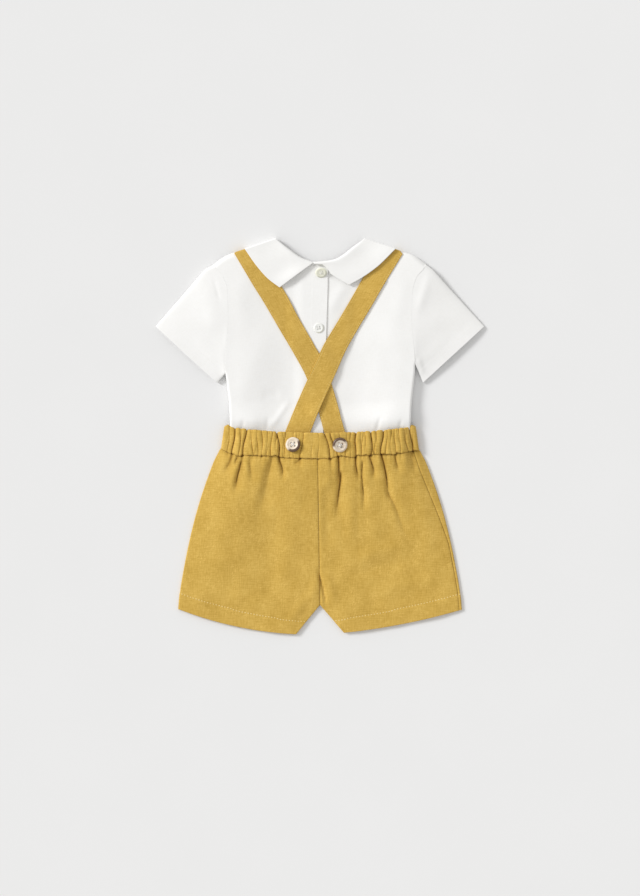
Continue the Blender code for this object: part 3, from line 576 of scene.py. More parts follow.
def woven(name, slot, colours, painted_shade_colour, thread, slub, relief, roughness, fleck=0.0):
    """Plain-woven cloth: threads of the given pitch in millimetres, thicker here and there in streaks of
    slub = (width, length), with uneven colour, a raised weave and painted shade: deep in its creases the
    colour is darkened towards the given dark shade colour. fleck is how far stray fibres that lie across the
    weave are lighter than the cloth."""
    made, tree, shader = new_material(name)
    place = node(tree, "Attribute", {}, "Vector", attribute_name="cloth")

    def streaks(wide, long, detail):
        return noise(tree, place, (wide, long, NOISE_DEPTH), detail)

    def total(a, b, share):
        both = node(tree, "Math", {0: a, 1: 1 - share}, operation="MULTIPLY")
        return node(tree, "Math", {0: b, 1: share, 2: both}, operation="MULTIPLY_ADD")

    slubs = total(streaks(*slub, 2.0), streaks(*slub[::-1], 2.0), 0.5)
    tone = total(slubs, streaks(22, 26, 3.0), 0.3)
    colour = ramp(tree, tone, list(zip((0.38, 0.5, 0.62), colours)))
    if fleck:
        askew = node(tree, "VectorRotate", {"Vector": place, "Angle": 0.7}, rotation_type="Z_AXIS")
        stray = noise(tree, askew, (1.1, 2.6, NOISE_DEPTH), 3.0, 1.0)
        stray = total(stray, streaks(14, 17, 2.0), 0.35)
        shown = node(tree, "MapRange", {"Value": stray, "From Min": 0.53, "From Max": 0.66, "To Max": fleck})
        lighter = [min(1, channel * 1.25 + 0.03) for channel in colours[-1]]
        colour = node(tree, "MixRGB", {"Fac": shown, "Color1": colour, "Color2": (*lighter, 1)})
    # Painted shade: the crease shade attribute darkens the colour towards the dark shade colour, deepest in
    # creases.
    crease_shade = node(tree, "Attribute", {}, "Fac", attribute_name="crease_shade")
    colour = node(tree, "MixRGB", {"Fac": crease_shade, "Color1": colour, "Color2": (*painted_shade_colour, 1)})

    parts = node(tree, "SeparateXYZ", {"Vector": place})
    waves = []
    for axis in ("X", "Y"):
        turn = node(tree, "Math", {0: parts.node.outputs[axis], 1: 2 * math.pi / (thread * MM)},
                    operation="MULTIPLY")
        waves.append(node(tree, "Math", {0: turn}, operation="SINE"))
    weave = node(tree, "Math", dict(enumerate(waves)), operation="MULTIPLY")
    height = node(tree, "Math", {0: weave, 1: 0.1, 2: slubs}, operation="MULTIPLY_ADD")
    bump = node(tree, "Bump", {"Height": height, "Strength": 1.0, "Distance": relief * MM})
    rough = node(tree, "MapRange", {"Value": tone, "From Min": 0.3, "From Max": 0.7,
                                    "To Min": roughness - 0.06, "To Max": roughness + 0.06})
    set_inputs(tree, shader, {"Base Color": colour, "Normal": bump, "Roughness": rough,
                              "Specular IOR Level": 0.1, "Sheen Weight": 0.05, "Sheen Roughness": 0.6})
    return made, slot


def polished(name, slot, stops, bark, rim, size, roughness):
    """Mottled button stock. bark is the colour of its outer skin, which is left on one side of the rim."""
    made, tree, shader = new_material(name)
    place = node(tree, "Attribute", {}, "Vector", attribute_name="cloth")
    grain = noise(tree, place, (size, size / 2.5, size), 4.0, 0.6)
    radius = node(tree, "VectorMath", {0: times(tree, place, (1, 1, 0))}, "Value", operation="LENGTH")
    ragged = node(tree, "Math", {0: grain, 1: 0.8 * MM, 2: radius}, operation="MULTIPLY_ADD")
    outside = node(tree, "MapRange", {"Value": ragged, "From Min": rim * MM, "From Max": (rim + 0.5) * MM},
                   interpolation_type="SMOOTHSTEP")
    lower = node(tree, "VectorMath", {0: place, 1: (0.6, -0.8, 0)}, "Value", operation="DOT_PRODUCT")
    one_side = node(tree, "MapRange", {"Value": lower, "From Min": 0.0, "From Max": 0.5 * rim * MM},
                    interpolation_type="SMOOTHSTEP")
    skin = node(tree, "Math", {0: outside, 1: one_side}, operation="MULTIPLY")
    stock = ramp(tree, grain, stops)
    colour = node(tree, "MixRGB", {"Fac": skin, "Color1": stock, "Color2": (*bark, 1)})
    gloss = node(tree, "MapRange", {"Value": grain, "To Min": roughness - 0.08, "To Max": roughness + 0.12})
    bump = node(tree, "Bump", {"Height": grain, "Strength": 0.4, "Distance": 0.05 * MM})
    set_inputs(tree, shader, {"Base Color": colour, "Roughness": gloss, "Normal": bump})
    return made, slot


def table_top():
    """A plain pale surface with the faintest unevenness."""
    made, tree, shader = new_material("pale_table")
    place = node(tree, "TexCoord", {}, "Object")
    cloud = node(tree, "TexNoise", {"Vector": place, "Scale": 9.0, "Detail": 2.0}, "Fac")
    colour = ramp(tree, cloud, [(0.2, (0.823, 0.823, 0.823)), (0.8, (0.835, 0.835, 0.835))])
    set_inputs(tree, shader, {"Base Color": colour, "Roughness": 0.95, "Specular IOR Level": 0.1})
    return made


# Each finish is a material and the slot that its pieces share
# The fourth colour of each woven cloth is the dark colour of its painted shade.
WHITE = woven("white_poplin", "white_poplin",
              ((0.875, 0.868, 0.85), (0.895, 0.89, 0.875), (0.91, 0.905, 0.892)),
              (0.62, 0.6, 0.56), 0.45, (0.9, 7), 0.03, 0.82)
MUSTARD = woven("mustard_linen", "mustard_linen",
                ((0.526, 0.329, 0.061), (0.611, 0.392, 0.083), (0.691, 0.458, 0.109)),
                (0.19, 0.08, 0.006), 0.8, (1.1, 8), 0.16, 0.88, 0.42)
MUSTARD_THREAD = woven("mustard_thread", "mustard_linen",
                       ((0.8, 0.6, 0.24), (0.87, 0.68, 0.31), (0.9, 0.74, 0.4)),
                       (0.6, 0.4, 0.1), 0.3, (0.5, 1), 0.03, 0.7)
WHITE_THREAD = woven("white_thread", "white_poplin",
                     ((0.86, 0.855, 0.84), (0.9, 0.895, 0.88), (0.92, 0.915, 0.9)),
                     (0.7, 0.7, 0.66), 0.3, (0.5, 1), 0.03, 0.7)
SHELL = polished("shell_button", "shell_button", ((0.3, (0.88, 0.88, 0.84)), (0.7, (0.94, 0.94, 0.91))),
                 (0.78, 0.78, 0.7), 4.6, 5, 0.28)
# A yellower copy of the shell stock for the top button, which paints the shade that the collar's end casts on
# it.
SHELL_SHADED = polished("shell_button_shaded", "shell_button",
                      ((0.3, (0.93, 0.93, 0.76)), (0.7, (0.98, 0.975, 0.85))), (0.7, 0.7, 0.58), 4.6, 5, 0.28)
HORN = polished("horn_button", "horn_button",
                ((0.3, (0.63, 0.515, 0.39)), (0.5, (0.765, 0.66, 0.525)), (0.7, (0.835, 0.735, 0.605))),
                (0.13, 0.075, 0.045), 5.8, 4, 0.36)


# ---- building

def add_object(name, data):
    """Puts a mesh, curve, light or camera in the scene."""
    made = bpy.data.objects.new(name, data)
    bpy.context.scene.collection.objects.link(made)
    return made


def build(name, points, faces, places, finish, node_name=None, crease_shade=None):
    """A smooth mesh of points in millimetres that rides on the set and stands for a node. Nothing in it goes
    below the table."""
    material, slot = finish
    points[:, 2] = np.maximum(points[:, 2], 0)
    mesh = bpy.data.meshes.new(name)
    mesh.from_pydata(points * MM, [], faces)
    mesh.shade_smooth()
    mesh.materials.append(material)
    where = mesh.attributes.new("cloth", "FLOAT_VECTOR", "POINT")
    where.data.foreach_set("vector", (places * MM).ravel())
    # The crease shade attribute is painted shade: the woven materials darken the colour by it.
    if crease_shade is not None:
        mesh.attributes.new("crease_shade", "FLOAT", "POINT").data.foreach_set("value", crease_shade)
    made = add_object(name, mesh)
    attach(made, "root")
    if node_name:
        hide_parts(node_name)
    return made


def unit(vectors):
    return vectors / np.maximum(np.linalg.norm(vectors, axis=-1, keepdims=True), 1e-9)


def cloth(name, grid, thick, finish, flat=None, closed=False, flip=False, relief=0.0, crease_shade=0.0, flush=0.0):
    """A node's piece of cloth, round a grid of middle points (rows, columns, xyz). flat is where each point
    is on the cut cloth, across and along its threads, where that isn't as it lies. A closed grid's last
    column joins the first. relief raises the outer face, crease is painted shade: how far each point's colour
    is darkened towards its material's shade colour, most where it lies deep in creases. flush is 1 where the
    outer face runs level up to the edge, because the next piece is sewn to it there. Returns the object and
    its outer face's grid."""
    flat = grid[..., :2] if flat is None else flat
    relief, crease_shade, flush = [np.broadcast_to(value, grid.shape[:2]) for value in (relief, crease_shade, flush)]
    if flip:
        grid, flat, relief, crease_shade, flush = [array[:, ::-1] for array in (grid, flat, relief, crease_shade, flush)]
    if closed:
        across = np.roll(grid, -1, 1) - np.roll(grid, 1, 1)
    else:
        across = np.gradient(grid, axis=1)
    normal = unit(np.cross(across, np.gradient(grid, axis=0)))

    def edge_distance(axis):
        reach = np.linalg.norm(np.diff(grid, axis=axis), axis=2).cumsum(axis)
        reach = np.insert(reach, 0, 0, axis)
        return np.minimum(reach, reach.take([-1], axis) - reach)

    edge = edge_distance(0) if closed else np.minimum(edge_distance(0), edge_distance(1))
    half = (thick / 2 * (0.25 + 0.75 * dome(edge, 0.7 * thick)))[..., None]
    outer = grid + normal * (mix(half, thick / 2, flush[..., None]) + relief[..., None])
    inner = grid - normal * half
    count = flush.size
    index = np.arange(count).reshape(flush.shape)
    if closed:
        index = np.concatenate((index, index[:, :1]), 1)
    quads = stack(index[:-1, :-1], index[:-1, 1:], index[1:, 1:], index[1:, :-1]).reshape(-1, 4)
    faces = [quads, quads[:, ::-1] + count]

    def border(line, backwards=False):
        first, second = line[:-1], line[1:]
        around = stack(first + count, second + count, second, first)
        return around[:, ::-1] if backwards else around

    faces += [border(index[0]), border(index[-1], True)]
    if not closed:
        faces += [border(index[:, 0], True), border(index[:, -1])]
    places = stack(flat[..., 0], flat[..., 1], 0).reshape(-1, 3)
    made = build(name + "_cloth", np.concatenate((outer, inner)).reshape(-1, 3), np.concatenate(faces),
                 np.concatenate((places, places + INNER_SHIFT)), finish, name, np.tile(crease_shade.ravel(), 2))
    return made, outer


def cut(made, kind):
    width, length, area = CUTS[kind]


def line_on(outer, rows, columns):
    """Points of a face's grid at fractional rows and columns."""
    rows, columns = np.broadcast_arrays(np.asarray(rows, float), np.asarray(columns, float))
    r = np.clip(rows.astype(int), 0, outer.shape[0] - 2)
    c = np.clip(columns.astype(int), 0, outer.shape[1] - 2)
    fr, fc = (rows - r)[:, None], (columns - c)[:, None]
    return mix(mix(outer[r, c], outer[r, c + 1], fc), mix(outer[r + 1, c], outer[r + 1, c + 1], fc), fr)


def tube_faces(index):
    """A tube's faces: quads between its rings, which are rows of point numbers, and one over each end."""
    after = np.roll(index, -1, 1)
    quads = stack(index[:-1], index[1:], after[1:], after[:-1]).reshape(-1, 4)
    return quads.tolist() + [index[0].tolist(), index[-1, ::-1].tolist()]


def stitches(name, lines, sizes, finish):
    """Rows of sewn stitches: small rods with sunken ends along lines of points."""
    pitch, length, radius = sizes
    share = np.array([-0.5, -0.3, 0.3, 0.5])[:, None]
    girth = np.array([0.4, 1, 1, 0.4])[:, None, None]
    sink = np.array([-0.9, -0.1, -0.1, -0.9])[:, None]
    turn = np.linspace(0, 2 * math.pi, 6, endpoint=False)[:, None]
    index = np.arange(len(share) * len(turn)).reshape(len(share), -1)
    points, faces = [], []
    for line in lines:
        reach = np.concatenate(([0], np.linalg.norm(np.diff(line, axis=0), axis=1).cumsum()))
        spots = np.arange(pitch / 2, reach[-1] - pitch / 4, pitch)
        centre, ahead = [stack(*[np.interp(at, reach, column) for column in line.T])
                         for at in (spots, spots + pitch / 2)]
        along = unit(ahead - centre)
        side = unit(np.cross(along, [0, 0, 1]))
        for at, t, s, u in zip(centre, along, side, np.cross(side, along)):
            faces += tube_faces(index + len(points) * index.size)
            ring = (at + t * share * length + u * sink * radius)[:, None]
            circle = np.cos(turn) * s + np.sin(turn) * u
            points.append((ring + circle * radius * girth).reshape(-1, 3))
    points = np.concatenate(points)
    return build(name, points, faces, points, finish)


def panel(start_x, end_x, neck, columns, rows, corner=0.0):
    """Where a shirt panel's points are: x, y and the height of its top edge. corner is the radius that
    rounds its upper end corner."""
    v, u = rows[:, None], columns[None, :]
    top_x = mix(start_x(SHOULDER_Y), end_x(SHOULDER_Y), u)
    into_corner = np.maximum(corner - np.abs(end_x(SHOULDER_Y) - top_x), 0)
    top_y = shirt_top(top_x, **neck) - corner + np.sqrt(corner ** 2 - into_corner ** 2)
    y = mix(band_foot(top_x) - TAIL, top_y, v)
    return mix(start_x(y), end_x(y), u), y, np.broadcast_to(top_y, y.shape)


def at_armhole(x, y):
    """1 beside the seam that joins a sleeve to the shirt, 0 away from it."""
    return plateau(body_half(y, x) - np.abs(x), 1.5, 1) * smooth((y - underarm_y(x)) / 3)


def placket_x(y):
    return mix(PLACKET_FOOT_X, PLACKET_TOP_X, np.clip(y / 165, 0, 1))


def make_shirt():
    """The two back panels that overlap under the buttons, and the front below them."""
    across, up = steps(84, BACK_WIDE), steps(165, BACK_LONG)
    x, y, top = panel(left_side, placket_x, BACK_NECK, across, up, PLACKET_CORNER)
    z = back_edge_height(x, y, top) + placket_lift(np.minimum(x, 0)) + POPLIN / 2
    from_edge = placket_x(y) - x
    band = 0.08 * plateau(from_edge, PLACKET_WIDE - 0.2, 0.8) - 0.14 * bell(from_edge - EDGE_STITCH, 0.5)
    band = band - 0.06 * bell(from_edge - PLACKET_WIDE, 0.6)
    neckband = 0.4 * plateau(top - y, 4.6, 0.9) * plateau(np.abs(x), 30, 8)
    left, face = cloth("shirt_back_left", stack(x, y, z), POPLIN, WHITE, relief=band + neckband,
                       flush=at_armhole(x, y))
    row = np.arange(4, len(up) - 6, 0.5)
    lines = [line_on(face, row, np.interp(1 - inset / BACK_WIDE, across, np.arange(len(across))))
             for inset in (EDGE_STITCH, PLACKET_WIDE)]
    sewn = stitches("placket_stitches", lines, PLACKET_STITCH, WHITE_THREAD)
    cut(left, "shirt_back_left")

    x, y, top = panel(right_side, lambda y: UNDERLAP_X, BACK_NECK, across, up)
    z = back_edge_height(x, y, top) + POPLIN / 2
    right, _ = cloth("shirt_back_right", stack(x, y, z), POPLIN, WHITE, flip=True, flush=at_armhole(x, y))
    cut(right, "shirt_back_right")

    x, y, _ = panel(left_side, right_side, FRONT_NECK, steps(110, 210), steps(110, 230))
    dent = 0.25 * np.abs(uneven(x, y, 32, 12)) * plateau(y, 160, 20)
    z = front_height(x, y) + POPLIN / 2 + dent
    front, _ = cloth("shirt_front", stack(x, y, z), POPLIN, WHITE, flip=True)
    cut(front, "shirt_front")


def make_sleeve(side):
    """A short sleeve as a flattened tube, from the armhole to the hemmed cuff."""
    name = "sleeve_" + SIDES[side]
    cap, cuff_high = (4.0, 4.8) if side < 0 else (1.6, 3.8)
    s = steps(52, 66)[:, None]
    angle = np.linspace(0, 2 * math.pi, 180, endpoint=False)[None, :]
    down, open_up = 0.5 + 0.5 * np.cos(angle), np.abs(np.sin(angle))
    arm_y = mix(SLEEVE_TOP, underarm_y(side) + 1.5, down)
    arm_x = side * (body_half(arm_y, side) + 0.03)
    cuff_x, cuff_y = side * mix(CUFF_TIP[0], CUFF_LOW[0], down), mix(CUFF_TIP[1], CUFF_LOW[1], down)
    cap = cap * (1 - s) * smooth(s / 0.14) * (1 - down) ** 2
    x = mix(arm_x, cuff_x, s) + 0.73 * side * cap
    y = mix(arm_y, cuff_y, s) + 0.68 * cap
    on_back = np.sin(angle) > 0
    low = mix(front_height(arm_x, arm_y), 0, smooth(s / 0.35)) + POPLIN / 2
    flatter = mix(back_height(arm_x, arm_y), back_height(x, y, True), smooth(s / 0.25))
    high = mix(flatter, cuff_high, smooth(s / 1.1)) + POPLIN / 2
    fullness = open_up ** mix(0.1, mix(0.8, 0.55, down), smooth(s / 0.6))
    flat_edge = mix(0.5, 0.32, plateau(down, 0, 0.4) * smooth(s / 0.3))
    crumple = ridges(SHIRT_CREASES, x, y) + 0.14 * uneven(x, y, 24, 21 + side)
    crumple = np.where(on_back, crumple, np.abs(crumple) * 0.3) * open_up ** 0.6 * smooth(s / 0.15)
    middle = mix(low, high, flat_edge)
    z = middle + np.where(on_back, high - middle, low - middle) * fullness + crumple
    reach = np.hypot(cuff_x - arm_x, cuff_y - arm_y)
    to_cuff = (1 - s) * reach
    relief = 0.07 * plateau(to_cuff, SLEEVE_HEM - 0.4, 0.8) - 0.08 * bell(to_cuff - SLEEVE_HEM, 0.5)
    flat = stack(angle / (2 * math.pi) * SLEEVE_ROUND, -to_cuff)
    made, face = cloth(name, stack(x, y, z), POPLIN, WHITE, flat, closed=True, flip=side > 0, relief=relief,
                       flush=plateau(s * reach, 1.5, 1))
    length = reach[0][::-1] if side > 0 else reach[0]
    rows = np.interp(1 - SLEEVE_HEM / length[:-1], s[:, 0], np.arange(len(s)))
    line = line_on(face, rows, np.arange(len(rows)))
    sewn = stitches(name + "_hem_stitches", [line], SLEEVE_STITCH, WHITE_THREAD)
    cut(made, "sleeve")


def turned(fold, side, low):
    """Rows of points carried round the shoulder's fold, from the row on its top down to the height low. The
    fold is pressed, so it bulges less than half of a circle would."""
    out = unit(np.array([side * SHOULDER_FOLD["slope"], 1.0]))
    half = (fold[:, 2] - low) / 2
    angle = np.linspace(0, math.pi, 13)[1:-1, None]
    bulge = 0.3 * half * np.sin(angle)
    return stack(fold[:, 0] + out[0] * bulge, fold[:, 1] + out[1] * bulge,
                 (fold[:, 2] + low) / 2 + np.cos(angle) * half)


def along_grid(grid):
    """Where each point is on the flat cloth: how far along its row and down its column."""
    down = np.insert(np.linalg.norm(np.diff(grid, axis=0), axis=2).cumsum(0), 0, 0, 0)
    aside = np.insert(np.linalg.norm(np.diff(grid, axis=1), axis=2).cumsum(1), 0, 0, 1)
    return stack(aside, down)


def make_collar(side):
    """Half of the flat collar: its pointed back, its turn over the shoulder, and its front."""
    name = "collar_" + SIDES[side]
    v = steps(26, COLLAR_WIDE, 1.6)[None, :]

    def plan(rows, at):
        neck_x, neck_y, edge_x, edge_y = [read(rows, "n", key, at) for key in list(rows)[1:]]
        return mix(neck_x, edge_x, v), mix(neck_y, edge_y, v)

    at = steps(46, 56, 1.6)[:, None] * 3
    x, y = plan(LEFT_COLLAR if side < 0 else RIGHT_COLLAR, at)
    if side < 0:
        tip = bell(at, 0.7) * 2.4 * smooth(v / 0.5) * plateau(v, 0.6, 0.6)
    else:
        at_end = plateau(at, 0, 0.75)
        x = mix(x, read(COLLAR_END, "share", "x", v), at_end)
        y = mix(y, read(COLLAR_END, "share", "y", v), at_end)
        tip = 1.8 * smooth((v - 0.25) / 0.75) * plateau(np.abs(at - 1.6), 1, 0.9)
    bend = (2.2 if side < 0 else 2.8) * (1 - v) + 0.1 * uneven(x, y, 26, 31 + side) * v
    round_neck = dome(v * COLLAR_WIDE + 0.3, 2.6)
    roll = mix(round_neck, 1, smooth(at - 2))
    z = collar_support(x, y) + tip + bend * plateau(at, 1.6, 1.4)
    z = mix(on_front(x, y) + POPLIN + SEAM, z, roll) + COLLAR / 2
    top = stack(x, y, z)
    x, y = plan(FRONT_COLLAR, np.linspace(0, 5, 60)[:, None])
    grid = np.concatenate((top, turned(top[-1], side, COLLAR / 2), stack(side * x, y, COLLAR / 2)))
    relief = -0.1 * bell((1 - v) * COLLAR_WIDE - COLLAR_STITCH, 0.7)
    made, _ = cloth(name, grid, COLLAR, WHITE, along_grid(grid), flip=side < 0, relief=relief)
    cut(made, "collar")


def make_strap(side):
    """A strap from inside the back of the waistband, over the shoulder, to inside the front of it."""
    name = "strap_" + SIDES[side]
    rows = LEFT_STRAP if side < 0 else RIGHT_STRAP
    inward = STRAP_ACROSS / STRAP_HALF
    share = np.concatenate((inward - 1, [0], 1 - inward[::-1]))

    def on_strap(path, y, share, mirror=1):
        slope = strap_slope(path, y)
        out = read(path, "y", "half", y) * share / np.hypot(1, slope)
        return mirror * (strap_x(path, y) + out), y - slope * out

    y = np.linspace(-20, 176, 132)[:, None]
    x, y = on_strap(rows, y, share)
    lift = 0.2
    if side > 0:
        lift = lift + crossing_lift(x, y) + smooth((share + 0.7) / 1.6) * (0.5 + 1.6 * bell(y - 30, 15))
    wave = 0.15 * uneven(x, y, 30, 41 + side) * smooth((y - 12) / 12) * plateau(y, 150, 20)
    back = stack(x, y, strap_support(x, y) + lift + STRAP / 2 + np.maximum(wave, 0))
    fold_at = np.full(share.shape, SHOULDER_Y)
    for _ in range(12):
        x, y = on_strap(rows, fold_at, share)
        fold_at = fold_at + 0.85 * (fold_y(x) - y)
    x, y = on_strap(rows, fold_at, share)
    t = np.linspace(0, 1, 18)[1:, None]
    x, y = mix(back[-1, :, 0], x, t), mix(back[-1, :, 1], y, t)
    upper = stack(x, y, strap_support(x, y) + STRAP / 2)
    low = COLLAR + SEAM + STRAP / 2
    wrapped = np.concatenate((turned(upper[-1], side, low), stack(x[-1:], y[-1:], low)))
    x, y = on_strap(FRONT_STRAP, np.linspace(184, -16, 90)[:, None], share * side, side)
    chest = (COLLAR + SEAM) * front_collar_cover(x, y)
    waist = FRONT_BAND_LIFT * plateau(y - band_top(x), 8, 20)
    grid = np.concatenate((back, upper, wrapped, stack(x, y, np.maximum(chest, waist) + STRAP / 2)))
    relief = -0.13 * bell((1 - np.abs(share)) * STRAP_HALF - EDGE_STITCH, 0.4)
    # The strap's colour takes an even small share of the painted shade colour, which darkens it all over.
    made, face = cloth(name, grid, STRAP, MUSTARD, along_grid(grid), relief=relief, crease_shade=0.045)
    row = np.arange(2, len(grid) - 2, 0.5)
    stitched = float(np.argmax(STRAP_ACROSS == EDGE_STITCH))
    lines = [line_on(face, row, column) for column in (stitched, len(share) - 1 - stitched)]
    sewn = stitches(name + "_stitches", lines, STRAP_STITCH, MUSTARD_THREAD)
    cut(made, "strap")


def gathers(creases, x, up):
    """The share of the gathers' height at x and at a share of the band's height, between the creases, and how
    near the point is to the sharp bottom of a crease."""
    spots = mix(creases["foot"], creases["top"], up[..., None])
    spots = spots + 0.8 * np.sin(up[..., None] * 5 + creases["foot"])
    off = x[..., None] - spots
    fickle = 1.25 * (1 - creases["depth"])
    fade = fickle * (0.5 + 0.5 * np.cos(up[..., None] * 5 + 2 * creases["top"]))
    strength = creases["depth"] * np.clip(1 - fade, 0, 1)
    skew = 1 + 0.55 * creases["lean"] * np.sign(off)
    narrow = np.exp(-np.abs(off / ((0.28 + 0.5 * creases["depth"]) * skew)) ** 1.3)
    broad = bell(off, (1.6 + 0.8 * creases["depth"]) * skew)
    share = 1 - np.clip((strength * (0.68 * narrow + 0.32 * broad)).sum(-1), 0, 1)
    return share, np.clip((strength * narrow).sum(-1), 0, 1)


def band_creases(back):
    """The creases of half of the waistband: finer ones by rule, and in its back the listed ones too."""
    if not back:
        n = np.arange(FRONT_CREASE_COUNT)
        spots = mix(-96, 96, n / n[-1])
        return {"top": spots, "foot": spots * 1.03, "depth": 0.75 + 0.25 * np.sin(3.7 * n),
                "lean": np.sin(2.3 * n)}
    n = np.arange(FINE_CREASE_COUNT)
    spots = mix(-100, 100, n / n[-1]) + 1.6 * np.sin(5.1 * n)
    depth = (0.27 + 0.15 * np.sin(7.3 * n)) * (np.abs(spots + 2.5) > 18)
    foot = spots * 1.03 + 1.4 * np.sin(2.9 * n)
    fine = {"top": spots, "foot": foot, "depth": depth, "lean": np.sin(3.3 * n)}
    return {key: np.concatenate((BACK_CREASES[key], fine[key])) for key in fine}


def make_band(back):
    """Half of the elasticated waistband, gathered, with its ends rolled towards the other half. Returns the
    line along it that the top of the shorts reaches up to."""
    name = "waistband_back" if back else "waistband_front"
    creases = band_creases(back)
    count, tall = (640, 26) if back else (330, 18)
    turn = np.linspace(0, math.pi / 2, 9)
    end = BAND_ROLL / BAND_TOP_HALF
    middle = np.linspace(end - 1, 1 - end, count)
    rolled = 1 - end * (1 - np.sin(turn[1:]))
    u = np.concatenate((-rolled[::-1], middle, rolled))[None, :]
    roll = np.concatenate((turn[:0:-1], 0 * middle, turn[1:]))
    up = steps(tall, BAND_DEPTH, 1.0)[:, None]
    foot_x, top_x = u * BAND_FOOT_HALF, u * BAND_TOP_HALF
    x = mix(foot_x, top_x, up)
    share, core = gathers(creases, x, np.broadcast_to(up, x.shape))
    share = mix(share, 0.7, plateau(BAND_TOP_HALF - np.abs(x), 1, 4))
    # Painted shade: the colour darkens in the bottoms of the creases, between the gathers and along the
    # band's foot.
    crease_shade = 1.5 * core ** 1.6 + 0.3 * (1 - share) ** 2 + (0.05 + 0.8 * (1 - share)) * plateau(up, 0.01, 0.02)
    crease_shade = crease_shade + notch_shade(x, up * BAND_DEPTH)
    top_edge, _ = gathers(creases, top_x, np.ones(top_x.shape))
    peak = 2.2 * bell(np.abs(top_x) - 100.5, 2.6) if back else 0
    top_y = band_top(top_x) + SCALLOP * (top_edge - 0.7) + peak
    y = mix(band_foot(foot_x) + seam_jog(foot_x) + 0.1, top_y, up)
    lips = 1.3 * (1 - dome(1 - up, 0.06)) + 1.1 * (1 - dome(up, 0.04))
    if back:
        pressed = [bell(np.hypot(x - bx, y - by), 10) for bx, by in STRAP_BUTTONS.values()]
        swell = 0.4 * np.sin(up * math.pi) + 0.3 * uneven(x, y * 0.6, 7, 51)
        gather = BACK_GATHER * (1 - 0.4 * smooth((np.abs(x) - 86) / 16))
        z = band_height(x) + share * (1 - 0.45 * sum(pressed)) * (gather + swell - lips)
    else:
        z = (1 - share) * FRONT_GATHER + 0.3 * lips + 0.04
    z = mix(z + BAND / 2, BACK_MEETS if back else FRONT_MEETS, 1 - np.cos(roll))
    grid = stack(x, y, z)
    flat = stack(along_grid(grid)[..., 0].mean(0), y)
    made, _ = cloth(name, grid, BAND, MUSTARD, flat, flip=not back, crease_shade=np.clip(crease_shade, 0, 1))
    cut(made, "waistband")
    return grid[np.argmin(np.abs(up * BAND_DEPTH - TUCK))]


def leg_plan(side, u, v):
    """A point of a leg seen from above: u from the middle to the side, v from the waistband to the hem."""
    u, v = np.asarray(u, float)[..., None], np.asarray(v, float)[..., None]
    ends = HEM_LEFT if side < 0 else HEM_RIGHT

    def inner(t):
        s = (t - CROTCH_AT) / (1 - CROTCH_AT)
        seam = CENTRE_SEAM_X * (1 - t / CROTCH_AT) + side * SEAM / 2
        above = np.concatenate((seam, mix(band_foot(0), CROTCH_Y, t / CROTCH_AT)), -1)
        return np.where(t < CROTCH_AT, above, mix(np.array([side * SEAM / 2, CROTCH_Y]), ends["in"], s))

    def outer(t):
        y = mix(band_foot(BAND_FOOT_HALF), ends["out"][1], t)
        return np.concatenate((side * read(SHORTS_SIDE, "y", "half", y), y), -1)

    start, end = np.zeros((1, 1, 1)), np.ones((1, 1, 1))

    def waist(t):
        x = mix(inner(start)[..., :1], outer(start)[..., :1], t)
        return np.concatenate((x, band_foot(x) + seam_jog(x)), -1)

    def hem(t):
        sag = ends["sag"] * 4 * t * (1 - t)
        return mix(inner(end), outer(end), t) - np.concatenate((0 * sag, sag), -1)

    corners = mix(inner(start), outer(start), u) * (1 - v) + mix(inner(end), outer(end), u) * v
    return mix(inner(v), outer(v), u) + waist(u) * (1 - v) + hem(u) * v - corners


